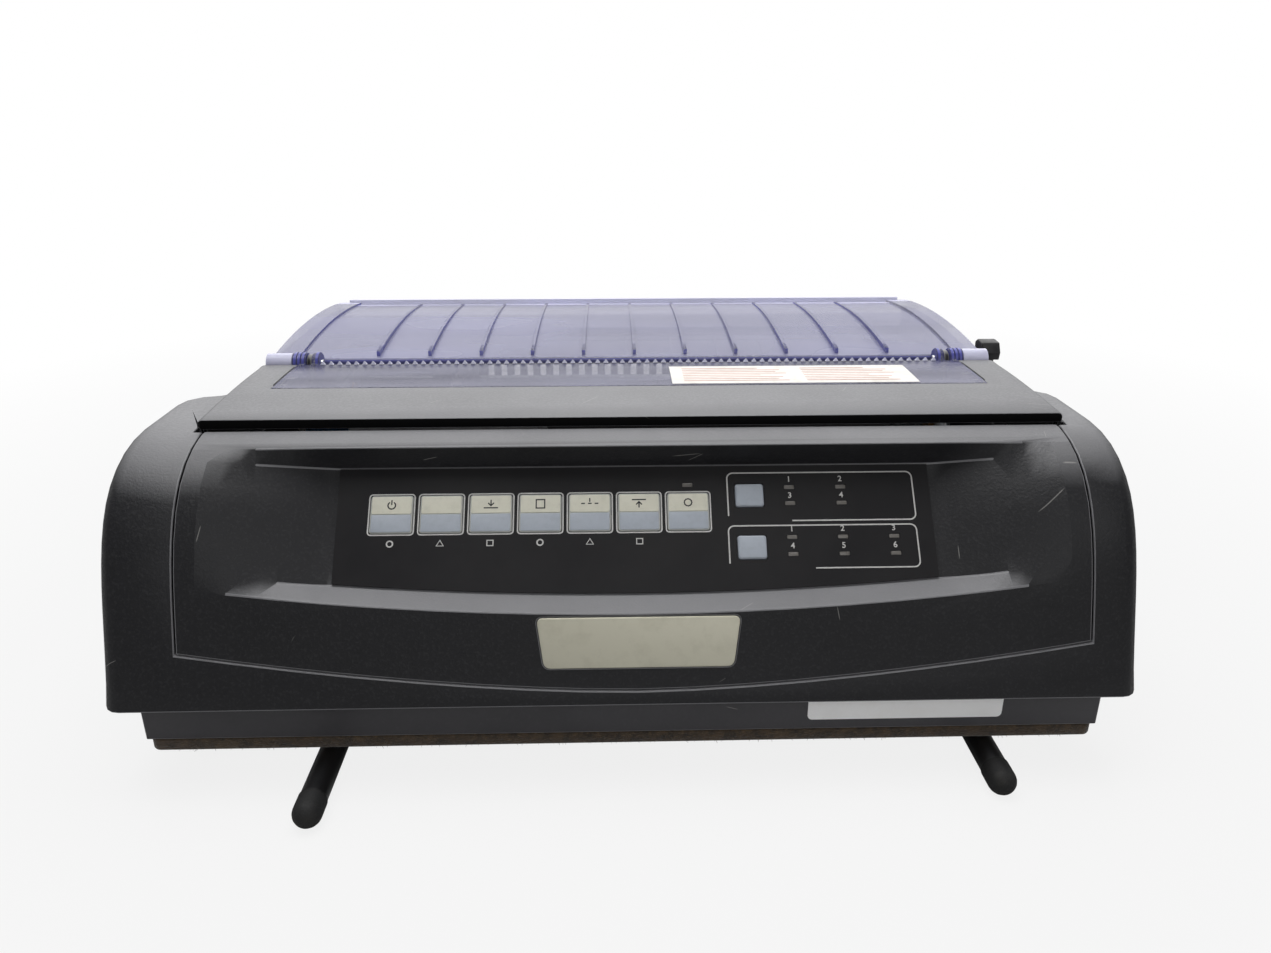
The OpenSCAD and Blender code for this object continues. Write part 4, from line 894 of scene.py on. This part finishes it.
class PRINTER_OT_keys(PieceOperator, bpy.types.Operator):
    """Key caps: a pale frame with a cream inlay above a grey-blue one, each on its own key"""
    bl_idname = "printer.keys"
    bl_label = "Keys"
    cap_foot = -3.5
    cap_corner = 1.1
    inlay_foot = 0.9
    inlay_rise = 0.25              # of the inlays' top over the cap's
    inlay_margin = 0.55
    inlay_gap = 0.1                # half the gap between a main key's two inlays
    skirt_foot = -4.5
    skirt_corner = 1.2
    skirt_lap = 0.2
    stem_foot = -7.2
    stem_radius = 2.0
    sign_lift = 3.7
    sign_stroke = 0.5
    materials = ("pale_grey_key_abs", "cream_key_inlay_abs", "grey_blue_key_inlay_abs", "dark_key_ink")

    def execute(self, context):
        for number, place in enumerate(MAIN_KEY_PLACES):
            bm = self.cap(place, MAIN_KEY_SIZE, 0)
            self.main_inlays(bm, *place)
            self.signs(bm, *place, KEY_SIGNS[number])
            self.finish_key(bm, "key_%d" % (number + 1))
        w, h = MODE_KEY_SIZE
        for number, place in enumerate(MODE_KEY_PLACES):
            bm = self.cap(place, MODE_KEY_SIZE, 2)
            add_tile(bm, place, (w - 0.7, h - 0.7), self.inlay_foot, KEY_TOP, 1.0, index=2, crown=0.3)
            self.finish_key(bm, "mode_key_%d" % (number + 1))
        return {"FINISHED"}

    def cap(self, place, size, index):
        """A crowned cap with a wider skirt under it and a round stem."""
        bm = bmesh.new()
        w, h = size
        add_tile(bm, place, size, self.cap_foot, KEY_TOP - self.inlay_rise, self.cap_corner, index,
                 sizes().key_crown)
        add_tile(bm, place, (w + 2, h + 2), self.skirt_foot, self.cap_foot + self.skirt_lap,
                 self.skirt_corner)
        add_tube(bm, [(*place, self.stem_foot), (*place, self.skirt_foot + 0.1)], self.stem_radius, 16)
        return bm

    def main_inlays(self, bm, u, v):
        """A cream inlay over a grey-blue one."""
        w, h = MAIN_KEY_SIZE
        half = h / 2 - self.inlay_margin
        size = (w - 2 * self.inlay_margin, half - self.inlay_gap)
        for way, index in ((1, 1), (-1, 2)):
            centre = (u, v + way * (half / 2 + self.inlay_gap))
            add_tile(bm, centre, size, self.inlay_foot, KEY_TOP, 0.7, index, crown=0.15)

    def signs(self, bm, u, v, lines):
        for line in lines:
            ends = [(u + x, v + self.sign_lift + y) for x, y in line]
            for start, end in zip(ends, ends[1:]):
                add_stroke(bm, start, end, self.sign_stroke, KEY_TOP, 3)

    def finish_key(self, bm, node):
        cap = finish_piece(bm, node + "_cap", node, self.materials, matrix=PANEL, angle=40.0)
        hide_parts(node)


class PRINTER_OT_panel(PieceOperator, bpy.types.Operator):
    """Printed panel film, its ruled boxes, plain signs and numbers, and the small lamps"""
    bl_idname = "printer.panel"
    bl_label = "Key Panel"
    pale = "pale_panel_ink"
    # left, right, low, high and the gap's right end of the two ruled boxes
    box_places = ((37.0, 112.6, 24.2, 44.6, 62.5), (36.6, 112.2, 4.6, 22.2, 70.5))
    box_corner = 2.4
    box_rise = 2.2                 # of a box's left end over its lower edge
    frame_margin = 1.1
    frame_corner = 1.3
    sign_drop = 4.2                # from a key's lower edge
    sign_shapes = (ring_points(1.2), [(-1.4, -1), (1.4, -1), (0, 1.3), (-1.4, -1)],
                   [(-1.2, -1.1), (1.2, -1.1), (1.2, 1.1), (-1.2, 1.1), (-1.2, -1.1)])
    number_size = 3.3
    number_boldness = 0.05
    number_drop = 0.3

    def execute(self, context):
        dressed_copy("panel_sheet", "printed_polyester_film", 0.0, angle=30.0)
        dress("smoked_lamp_window", 0.1, "panel_lamps")
        level = SHEET_TOP + sizes().ink / 2
        lines = [[(u, v, level) for u, v in line] for line in self.boxes() + self.key_frames() + self.signs()]
        values = {"Stroke Width": sizes().stroke, "Thickness": sizes().ink}
        run_tree(line_mesh("panel_print", lines), printed_lines(self.pale), values, "panel_sheet", PANEL)
        self.numbers(level)
        return {"FINISHED"}

    def boxes(self):
        """Two ruled boxes with a gap in the lower left of each."""
        drawn = []
        for left, right, low, high, gap in self.box_places:
            centre = ((left + right) / 2, (low + high) / 2)
            corners = rounded_outline(right - left, high - low, self.box_corner, centre=centre)
            upper_right, upper_left, lower_right = corners[:6], corners[6:12], corners[18:]
            end = (left, low + self.box_rise)
            drawn.append([(gap, low)] + lower_right + upper_right + upper_left + [end])
        return drawn

    def key_frames(self):
        """Thin frames printed round the main keys."""
        size = [side + self.frame_margin for side in MAIN_KEY_SIZE]
        rings = [rounded_outline(*size, self.frame_corner, centre=place) for place in MAIN_KEY_PLACES]
        return [ring + ring[:1] for ring in rings]

    def signs(self):
        """Plain signs under all main keys but the last."""
        drop = MAIN_KEY_SIZE[1] / 2
        return [[(u + x, v - drop - self.sign_drop + y) for x, y in self.sign_shapes[i % 3]]
                for i, (u, v) in enumerate(MAIN_KEY_PLACES[:-1])]

    def numbers(self, level):
        """Plain numbers beside the lamps: 1 to 4 in the upper box and 1 to 6 in the lower one."""
        places = [(u, v) for v in (41.0, 34.1) for u in (62.2, 83.1)]
        places += [(u, v) for v in (20.0, 13.0) for u in (62.0, 82.4, 103.0)]
        bm = bmesh.new()
        for count, (u, v) in enumerate(places):
            curve = bpy.data.curves.new("number", "FONT")
            curve.body = str(count + 1 if count < 4 else count - 3)
            curve.size = self.number_size
            curve.offset = self.number_boldness
            curve.align_x = "CENTER"
            curve.extrude = sizes().ink / 2
            text = link("number", curve)
            mesh = baked_mesh(text)
            mesh.transform(Matrix.Translation((u, v - self.number_drop, level)))
            bm.from_mesh(mesh)
            bpy.data.objects.remove(text)
            bpy.data.meshes.remove(mesh)
        bmesh.ops.remove_doubles(bm, verts=bm.verts, dist=1e-4)
        finish_piece(bm, "panel_numbers", "panel_sheet", [self.pale], matrix=PANEL)


class PRINTER_OT_plates(PieceOperator, bpy.types.Operator):
    """Bare name plate, bare serial label, and window label with pale ruled lines"""
    bl_idname = "printer.plates"
    bl_label = "Plates and Labels"
    rule_from = 0.14
    rule_step = 0.1
    rule_columns = ((0.05, 0.48), (0.55, 0.93))
    rule_ends_short_by = (0.0, 0.04, 0.02, 0.11) * 2

    def execute(self, context):
        dress("cream_anodised_name_plate", 0.35, "name_plate")
        dress("white_serial_label_stock", 0.0, "serial_label")
        dress("white_label_stock", 0.0, "window_label")
        self.window_rules()
        return {"FINISHED"}

    def window_rules(self):
        """Pale ruled lines in two blocks on the window label."""
        low, high = local_box("window_label", MECH)
        size = high - low
        level = high.z + sizes().ink / 2
        lines = []
        for left, right in self.rule_columns:
            for row, short in enumerate(self.rule_ends_short_by):
                y = low.y + size.y * (self.rule_from + self.rule_step * row)
                lines.append([(low.x + size.x * share, y, level) for share in (left, right - short)])
        run_tree(line_mesh("window_label_rules", lines), printed_lines("pale_red_ink"),
                 {"Stroke Width": 0.5, "Thickness": sizes().ink}, "window_label", MECH)


class PRINTER_OT_covers(PieceOperator, bpy.types.Operator):
    """Clear window with its tear teeth, the ribbed paper separator and the hinge pins"""
    bl_idname = "printer.covers"
    bl_label = "Clear Covers"
    rim_from = 281.0               # the painted highlight on the separator's rear rim starts here, y in the case
    boss_to = 158.0                # its hinge bosses end here
    rib_field = 162.0              # half width of its ribbed field
    window_front = 105.7
    window_side = 160.4
    window_corner = 5.0
    side_run = range(141, 111, -6)
    over_all = 200                 # the cover is sought from here down
    cover_top = 120.0
    lift = 0.02
    knuckle_rings = (151.0, 157.6, 159.6, 161.6)
    tear_edge = (148.0, 145.0, 120.5)
    polished = "polished_polycarbonate_rim"

    def execute(self, context):
        # deeper violet painted on side, rib and front faces: painted shade for the dark lines their edges
        # show
        edge_shade = "violet_polycarbonate_edge_on"
        window = dressed_copy("cover_window", "violet_window_polycarbonate", 0.0, angle=24.0)
        paint_faces(window, edge_shade, lambda face: abs(face.normal.x) > 0.8)
        separator = dressed_copy("paper_separator", "violet_tinted_polycarbonate", 0.0, angle=24.0)
        rim, boss = ((CASE @ Vector((0, y, 0))).y for y in (self.rim_from, self.boss_to))
        inner = (self.rib_field + MECH_X) * MM
        paint_faces(separator, edge_shade, lambda face: face.normal.y < -0.8
                    or abs(face.normal.x) > 0.8 and abs(face.center.x) < inner)
        # pale colour on the rear rim's upper and front faces and on the hinge bosses: painted highlight
        paint_faces(separator, "frosted_polycarbonate_rim", lambda face: face.center.y < boss
                    or face.center.y > rim and (face.normal.z > 0.3 or face.normal.y < -0.8))
        dress("ground_steel_rod", 0.2, "hinge_pins")
        self.window_joint()
        self.knuckles()
        self.tear_teeth()
        return {"FINISHED"}

    def window_joint(self):
        """The joint between the window and its cover: a pale bead in front, painted as the glint along the
        window's front edge, and a black gasket at the sides and round the front corners."""
        mesh = frame["nodes"]["access_cover"].data
        cover = BVHTree.FromPolygons([v.co for v in mesh.vertices], [p.vertices for p in mesh.polygons])

        def on_cover(x, y):
            hit = cover.ray_cast(MECH @ Vector((x, y, self.over_all)), Vector((0, 0, -1)))[0]
            return (x, y, max((MECH.inverted() @ hit).z, self.cover_top) + self.lift)

        front, side, r = self.window_front, self.window_side, self.window_corner
        left = [(-side, y) for y in self.side_run]
        left += [(-side + r - r * math.cos(a), front + r - r * math.sin(a))
                 for a in (math.radians(turn) for turn in range(0, 91, 15))]
        end = left[-1]
        sides = [left, [(-x, y) for x, y in left]]
        for name, material, lines in (("window_bead", self.polished, [[end, (-end[0], front)]]),
                                      ("window_gasket", "black_window_gasket", sides)):
            raised = [[on_cover(x, y) for x, y in line] for line in lines]
            run_tree(line_mesh(name, raised), printed_lines(material),
                     {"Stroke Width": 0.8, "Thickness": 0.2}, "cover_window", MECH)

    def knuckles(self):
        """Deeper-tinted rings round the pins in the window's knuckles."""
        low, high = local_box("hinge_pins", MECH)
        axis = (low.y + high.y) / 2, (low.z + high.z) / 2
        width, radius = 1.3, 5.6
        bm = bmesh.new()
        for side in (-1, 1):
            for u in self.knuckle_rings:
                add_tube(bm, [(side * u, *axis), (side * (u + width), *axis)], radius, 28)
        finish_piece(bm, "hinge_knuckle_rings", "cover_window", ["deep_violet_polycarbonate"],
                     matrix=MECH, angle=40.0)

    def tear_teeth(self):
        """A row of small teeth along the window's rear edge, in a pale finish painted as the glints they
        catch.
        """
        u, y, z = self.tear_edge
        pitch = sizes().tooth_pitch
        run_tree(line_mesh("tear_teeth", [[(-u, y, z), (u, y, z)]]),
                 teeth_along("tear_teeth", self.polished, True),
                 {"Pitch": pitch, "Width": pitch * 0.6, "Length": 1.3, "Height": 1.5}, "cover_window", MECH)


class PRINTER_OT_paper_feed(PieceOperator, bpy.types.Operator):
    """Platen, its knob, the gear train, tractors, shafts and side frames"""
    bl_idname = "printer.paper_feed"
    bl_label = "Paper Feed"

    def execute(self, context):
        dress("natural_acetal", 0.12, "platen_gear", "feed_idler_gear", "tractor_idler_gear",
              "tractor_sprocket_left", "tractor_sprocket_right")
        dress("black_glass_filled_pbt", 0.3, "tractor_left", "tractor_right", "tractor_lid_left",
              "tractor_lid_right")
        dress("sintered_bronze", 0.12, "feed_pinion", "shaft_bushes")
        dress("ground_steel_rod", 0.2, "platen_shaft", "tractor_shaft", "tractor_rod", "carriage_shaft")
        dress("zinc_plated_sheet", 0.2, "side_frame_left", "side_frame_right", "chassis")
        dress("ground_nitrile_roller", 0.5, "platen_roller")
        dress("black_glass_filled_pbt", 0.25, "platen_knob")
        dress("black_glass_filled_pbt", 0.6, "paper_lever")
        return {"FINISHED"}


class PRINTER_OT_print_works(PieceOperator, bpy.types.Operator):
    """Carriage, finned print head, ribbon cartridge and the toothed drive belt"""
    bl_idname = "printer.print_works"
    bl_label = "Print Works"
    ribbon_stretch = (148.8, 149.6)    # y of the bare ribbon before the platen
    belt_root = 1.7                    # from the belt's outer face to the middle of its teeth
    belt_bend = 12                     # length at each end that runs round a pulley

    def execute(self, context):
        dress("black_glass_filled_pbt", 0.3, "carriage")
        dress("die_cast_aluminium", 0.25, "print_head")
        ribbon = dressed_copy("ribbon_cartridge", "black_polystyrene_cartridge", 0.4)
        near, far = ((MECH @ Vector((0, y, 0))).y for y in self.ribbon_stretch)
        paint_faces(ribbon, "inked_nylon_ribbon",
                    lambda face: near < face.center.y < far and abs(face.normal.y) > 0.9)
        dress("blue_acetal_knob", 0.25, "ribbon_knob")
        dress("turned_aluminium", 0.15, "drive_pulley")
        dress("natural_acetal", 0.15, "idler_pulley")
        dress("black_neoprene_belt", 0.1, "drive_belt")
        self.belt_teeth()
        return {"FINISHED"}

    def belt_teeth(self):
        """Teeth on the two straight runs of the belt's inner face."""
        low, high = local_box("drive_belt", MECH)
        middle = (low.z + high.z) / 2
        runs = [[(x, y, middle) for x in (low.x + self.belt_bend, high.x - self.belt_bend)]
                for y in (low.y + self.belt_root, high.y - self.belt_root)]
        pitch = sizes().belt_pitch
        run_tree(line_mesh("drive_belt_teeth", runs),
                 teeth_along("belt_teeth", "black_neoprene_belt", False),
                 {"Pitch": pitch, "Width": pitch * 0.5, "Length": 0.7, "Height": high.z - low.z - 0.6},
                 "drive_belt", MECH)


CHASSIS_TOP = 13.5
BOARD_TOP = 13.6
CHASSIS_SCREWS = [(x, y) for x in (-120, -40, 40, 120) for y in (90, 240)]
SUPPLY_SCREWS = [(x, y) for x in (-104.0, 74.0) for y in (275.4, 321.0)]
SCREW_RISE = 0.9               # middle of a screw's head over the sheet or board it holds
FLAT_CABLE = [(325, 42), (318, 40), (312, 11), (300, 10), (66, 10), (56, 12), (50, 40)]

# radius and paths of the leads, in the case
LEADS = {
    "brown_mains_lead": (1.3, [
        [(-143, 320.5, 44), (-143, 308, 40), (-118, 303, 24), (-105, 301, 15)]]),
    "blue_mains_lead": (1.3, [
        [(-129, 320.5, 44), (-127, 306, 36), (-112, 296, 22), (-105, 294, 15)]]),
    "switch_leads": (1.2, [
        [(188, y, 56), (178 + s, y + 8, 40), (178 + s, 96, 13), (178 + s, 250, 13), (150, 292 + s, 15),
         (78, 300 + s, 15)] for y, s in ((58, 0), (66, 3))]),
    "motor_leads": (0.9, [
        [(-131 + s, 75, 18), (-122 + s, 66, 17), (-104 + s, 56, 24), (-96 + s, 50, 40)]
        for s in (-3, -1, 1, 3)]),
    "flat_cable": (0.62, [
        [(92 + s, y, z) for y, z in FLAT_CABLE] for s in [1.2 * k - 6.6 for k in range(12)]]),
}


def screws(name, places, level, node, matrix):
    """Upright pan-head screws, given by the middle of each head."""
    mesh = bpy.data.meshes.new(name)
    mesh.from_pydata([(x, y, level + SCREW_RISE) for x, y in places], [], [])
    ways = mesh.attributes.new("out", "FLOAT_VECTOR", "POINT")
    ways.data.foreach_set("vector", (0, 0, 1) * len(places))
    values = {"Head Diameter": sizes().screw_head, "Head Height": 1.8}
    run_tree(mesh, pan_head_screws("zinc_plated_screw"), values, node, matrix)


class PRINTER_OT_electrics(PieceOperator, bpy.types.Operator):
    """Boards, motors, switch, mains inlet, data connector and the leads between them"""
    bl_idname = "printer.electrics"
    bl_label = "Electrics"
    core_faces = (283.9, 316.1)        # the winding shows only past the iron core's front and back

    def execute(self, context):
        dress("green_glass_laminate", 0.15, "control_board")
        self.supply(dressed_copy("power_supply", "green_glass_laminate", 0.15))
        dress("rolled_motor_can", 0.3, "feed_motor", "carriage_motor")
        dress("black_glass_filled_pbt", 0.3, "mains_inlet")
        dress("black_glass_filled_pbt", 0.4, "power_switch")
        dress("tin_plated_shell", 0.25, "interface_socket")
        self.leads()
        screws("chassis_screws", CHASSIS_SCREWS, CHASSIS_TOP, "chassis", MECH)
        screws("supply_screws", SUPPLY_SCREWS, BOARD_TOP, "power_supply", CASE)
        return {"FINISHED"}

    def supply(self, board):
        """Iron core, taped windings, sleeved capacitors and heat sink, each by its span in x and y."""
        parts = (("transformer_iron", (-97, -53), (283.8, 316.2)),
                 ("yellow_winding_tape", (-91, -59), (278.8, 321.2)),
                 ("blue_sleeved_capacitor", (-47, -9), (291.8, 308.2)),
                 ("black_anodised_heat_sink", (5, 61), (279.8, 318.2)))
        for name, across, along in parts:
            def inside(face, across=across, along=along, winding=name == "yellow_winding_tape"):
                x, y, z = CASE.inverted() @ face.center
                return (z > BOARD_TOP + 0.2 and across[0] < x < across[1] and along[0] < y < along[1]
                        and not (winding and self.core_faces[0] < y < self.core_faces[1]))
            paint_faces(board, name, inside)

    def leads(self):
        """Insulated leads, bent along the case floor."""
        for name, (radius, paths) in LEADS.items():
            bm = bmesh.new()
            for path in paths:
                add_tube(bm, bent_path(path), radius)
            finish_piece(bm, name, "power_supply", [name + "_pvc"], matrix=CASE, angle=50.0)


class PRINTER_OT_stage(PieceOperator, bpy.types.Operator):
    """Pale floor, soft lamps, plain world and the camera"""
    bl_idname = "printer.stage"
    bl_label = "Stage"
    floor_half = 6.0
    # size, energy, place and target of each lamp, in metres
    lamps = {"soft_rear_lamp": ((2.6, 1.2), 12.0, (0.0, 1.5, 1.25), (0, 0, 0.1)),
             "soft_top_lamp": ((1.6, 1.2), 24.0, (-0.1, 0.2, 1.6), (0, 0, 0.08)),
             "soft_front_lamp": ((1.6, 0.9), 6.5, (0.3, -1.6, 1.0), (0, 0, 0.06))}

    def execute(self, context):
        self.floor()
        self.world(context.scene)
        for name, values in self.lamps.items():
            self.lamp(name, *values)
        self.camera(context.scene)
        context.scene.view_settings.view_transform = "Standard"
        return {"FINISHED"}

    def floor(self):
        """A painted floor that turns plain white to the camera away from the printer."""
        half = self.floor_half
        mesh = bpy.data.meshes.new("pale_floor")
        mesh.from_pydata([(-half, -half, 0), (half, -half, 0), (half, half, 0), (-half, half, 0)], [],
                         [(0, 1, 2, 3)])
        material = bpy.data.materials.new("pale_painted_floor")
        material.use_nodes = True
        nodes = Nodes(material.node_tree)
        nodes.tree.nodes.clear()
        nodes.coords = nodes.put("ShaderNodeTexCoord").outputs["Object"]
        away = nodes.put(VECTORS, [nodes.coords], operation="LENGTH")
        white = nodes.put(RAMP, [away, 0.3, 0.75, 0.84, 1.0])
        seen = nodes.put("ShaderNodeLightPath").outputs["Is Camera Ray"]
        share = nodes.put(MATHS, [seen, white], operation="MULTIPLY")
        grain = nodes.put(RAMP, [nodes.blobs(0.3), 0.3, 0.7, 0.48, 0.5])
        grey = nodes.put("ShaderNodeCombineColor", [grain, grain, grain])
        paint = nodes.put("ShaderNodeBsdfDiffuse", {"Color": grey})
        glow = nodes.put("ShaderNodeEmission", {"Color": (1, 1, 1, 1), "Strength": 1.0})
        mixed = nodes.put("ShaderNodeMixShader", [share, paint, glow])
        nodes.put("ShaderNodeOutputMaterial", {"Surface": mixed})
        mesh.materials.append(material)
        link("pale_floor", mesh)

    def world(self, scene):
        """White to the camera; to reflections white behind the printer and dim before it."""
        scene.world = bpy.data.worlds.new("plain_world")
        scene.world.use_nodes = True
        nodes = Nodes(scene.world.node_tree)
        nodes.tree.nodes.clear()
        path = nodes.put("ShaderNodeLightPath").outputs
        way = nodes.put("ShaderNodeTexCoord").outputs["Generated"]
        rear = nodes.put("ShaderNodeSeparateXYZ", [way]).outputs["Y"]
        behind = nodes.put(RAMP, [rear, -0.1, 0.7, 0.16, 1.0])
        soft = nodes.put(MIX, [path["Is Glossy Ray"], 0.16, behind])
        strength = nodes.put(MIX, [path["Is Camera Ray"], soft, 1.0])
        sky = nodes.put("ShaderNodeBackground", {"Color": (1, 1, 1, 1), "Strength": strength})
        nodes.put("ShaderNodeOutputWorld", {"Surface": sky})

    def lamp(self, name, size, energy, place, target):
        light = bpy.data.lights.new(name, "AREA")
        light.shape = "RECTANGLE"
        light.size, light.size_y = size
        light.energy = energy
        lamp = link(name, light)
        lamp.location = place
        lamp.rotation_euler = (Vector(target) - Vector(place)).to_track_quat("-Z", "Y").to_euler()

    def camera(self, scene):
        lens = bpy.data.cameras.new("camera")
        lens.sensor_width = 36.0
        lens.lens = 27.19
        camera = link("camera", lens)
        camera.location = (-0.0051, -0.4664, 0.2541)
        camera.rotation_euler = (math.radians(68.0), 0.0, math.radians(-1.54))
        scene.camera = camera


# ---------- add-on ----------

PIECE_OPERATORS = (
    PRINTER_OT_shells, PRINTER_OT_feet, PRINTER_OT_panel, PRINTER_OT_keys, PRINTER_OT_plates,
    PRINTER_OT_covers, PRINTER_OT_paper_feed, PRINTER_OT_print_works, PRINTER_OT_electrics,
    PRINTER_OT_stage,
)


class PRINTER_PT_looks(bpy.types.Panel):
    """Lists the printer's sizes, colours and operators"""
    bl_label = "Printer"
    bl_idname = "PRINTER_PT_looks"
    bl_space_type = "VIEW_3D"
    bl_region_type = "UI"
    bl_category = "Printer"

    def draw(self, context):
        for group in (context.scene.printer_sizes, context.scene.printer_colours):
            box = self.layout.box()
            for name in group.__annotations__:
                box.prop(group, name)
        for operator in PIECE_OPERATORS:
            self.layout.operator(operator.bl_idname)


CLASSES = (PrinterSizes, PrinterColours) + PIECE_OPERATORS + (PRINTER_PT_looks,)


def register():
    for cls in CLASSES:
        bpy.utils.register_class(cls)
    bpy.types.Scene.printer_sizes = PointerProperty(type=PrinterSizes)
    bpy.types.Scene.printer_colours = PointerProperty(type=PrinterColours)


def unregister():
    del bpy.types.Scene.printer_colours
    del bpy.types.Scene.printer_sizes
    for cls in reversed(CLASSES):
        bpy.utils.unregister_class(cls)


def main():
    """Dresses the whole printer."""
    register()
    for operator in PIECE_OPERATORS:
        group, name = operator.bl_idname.split(".")
        getattr(getattr(bpy.ops, group), name)()


if __name__ == "__main__":
    main()
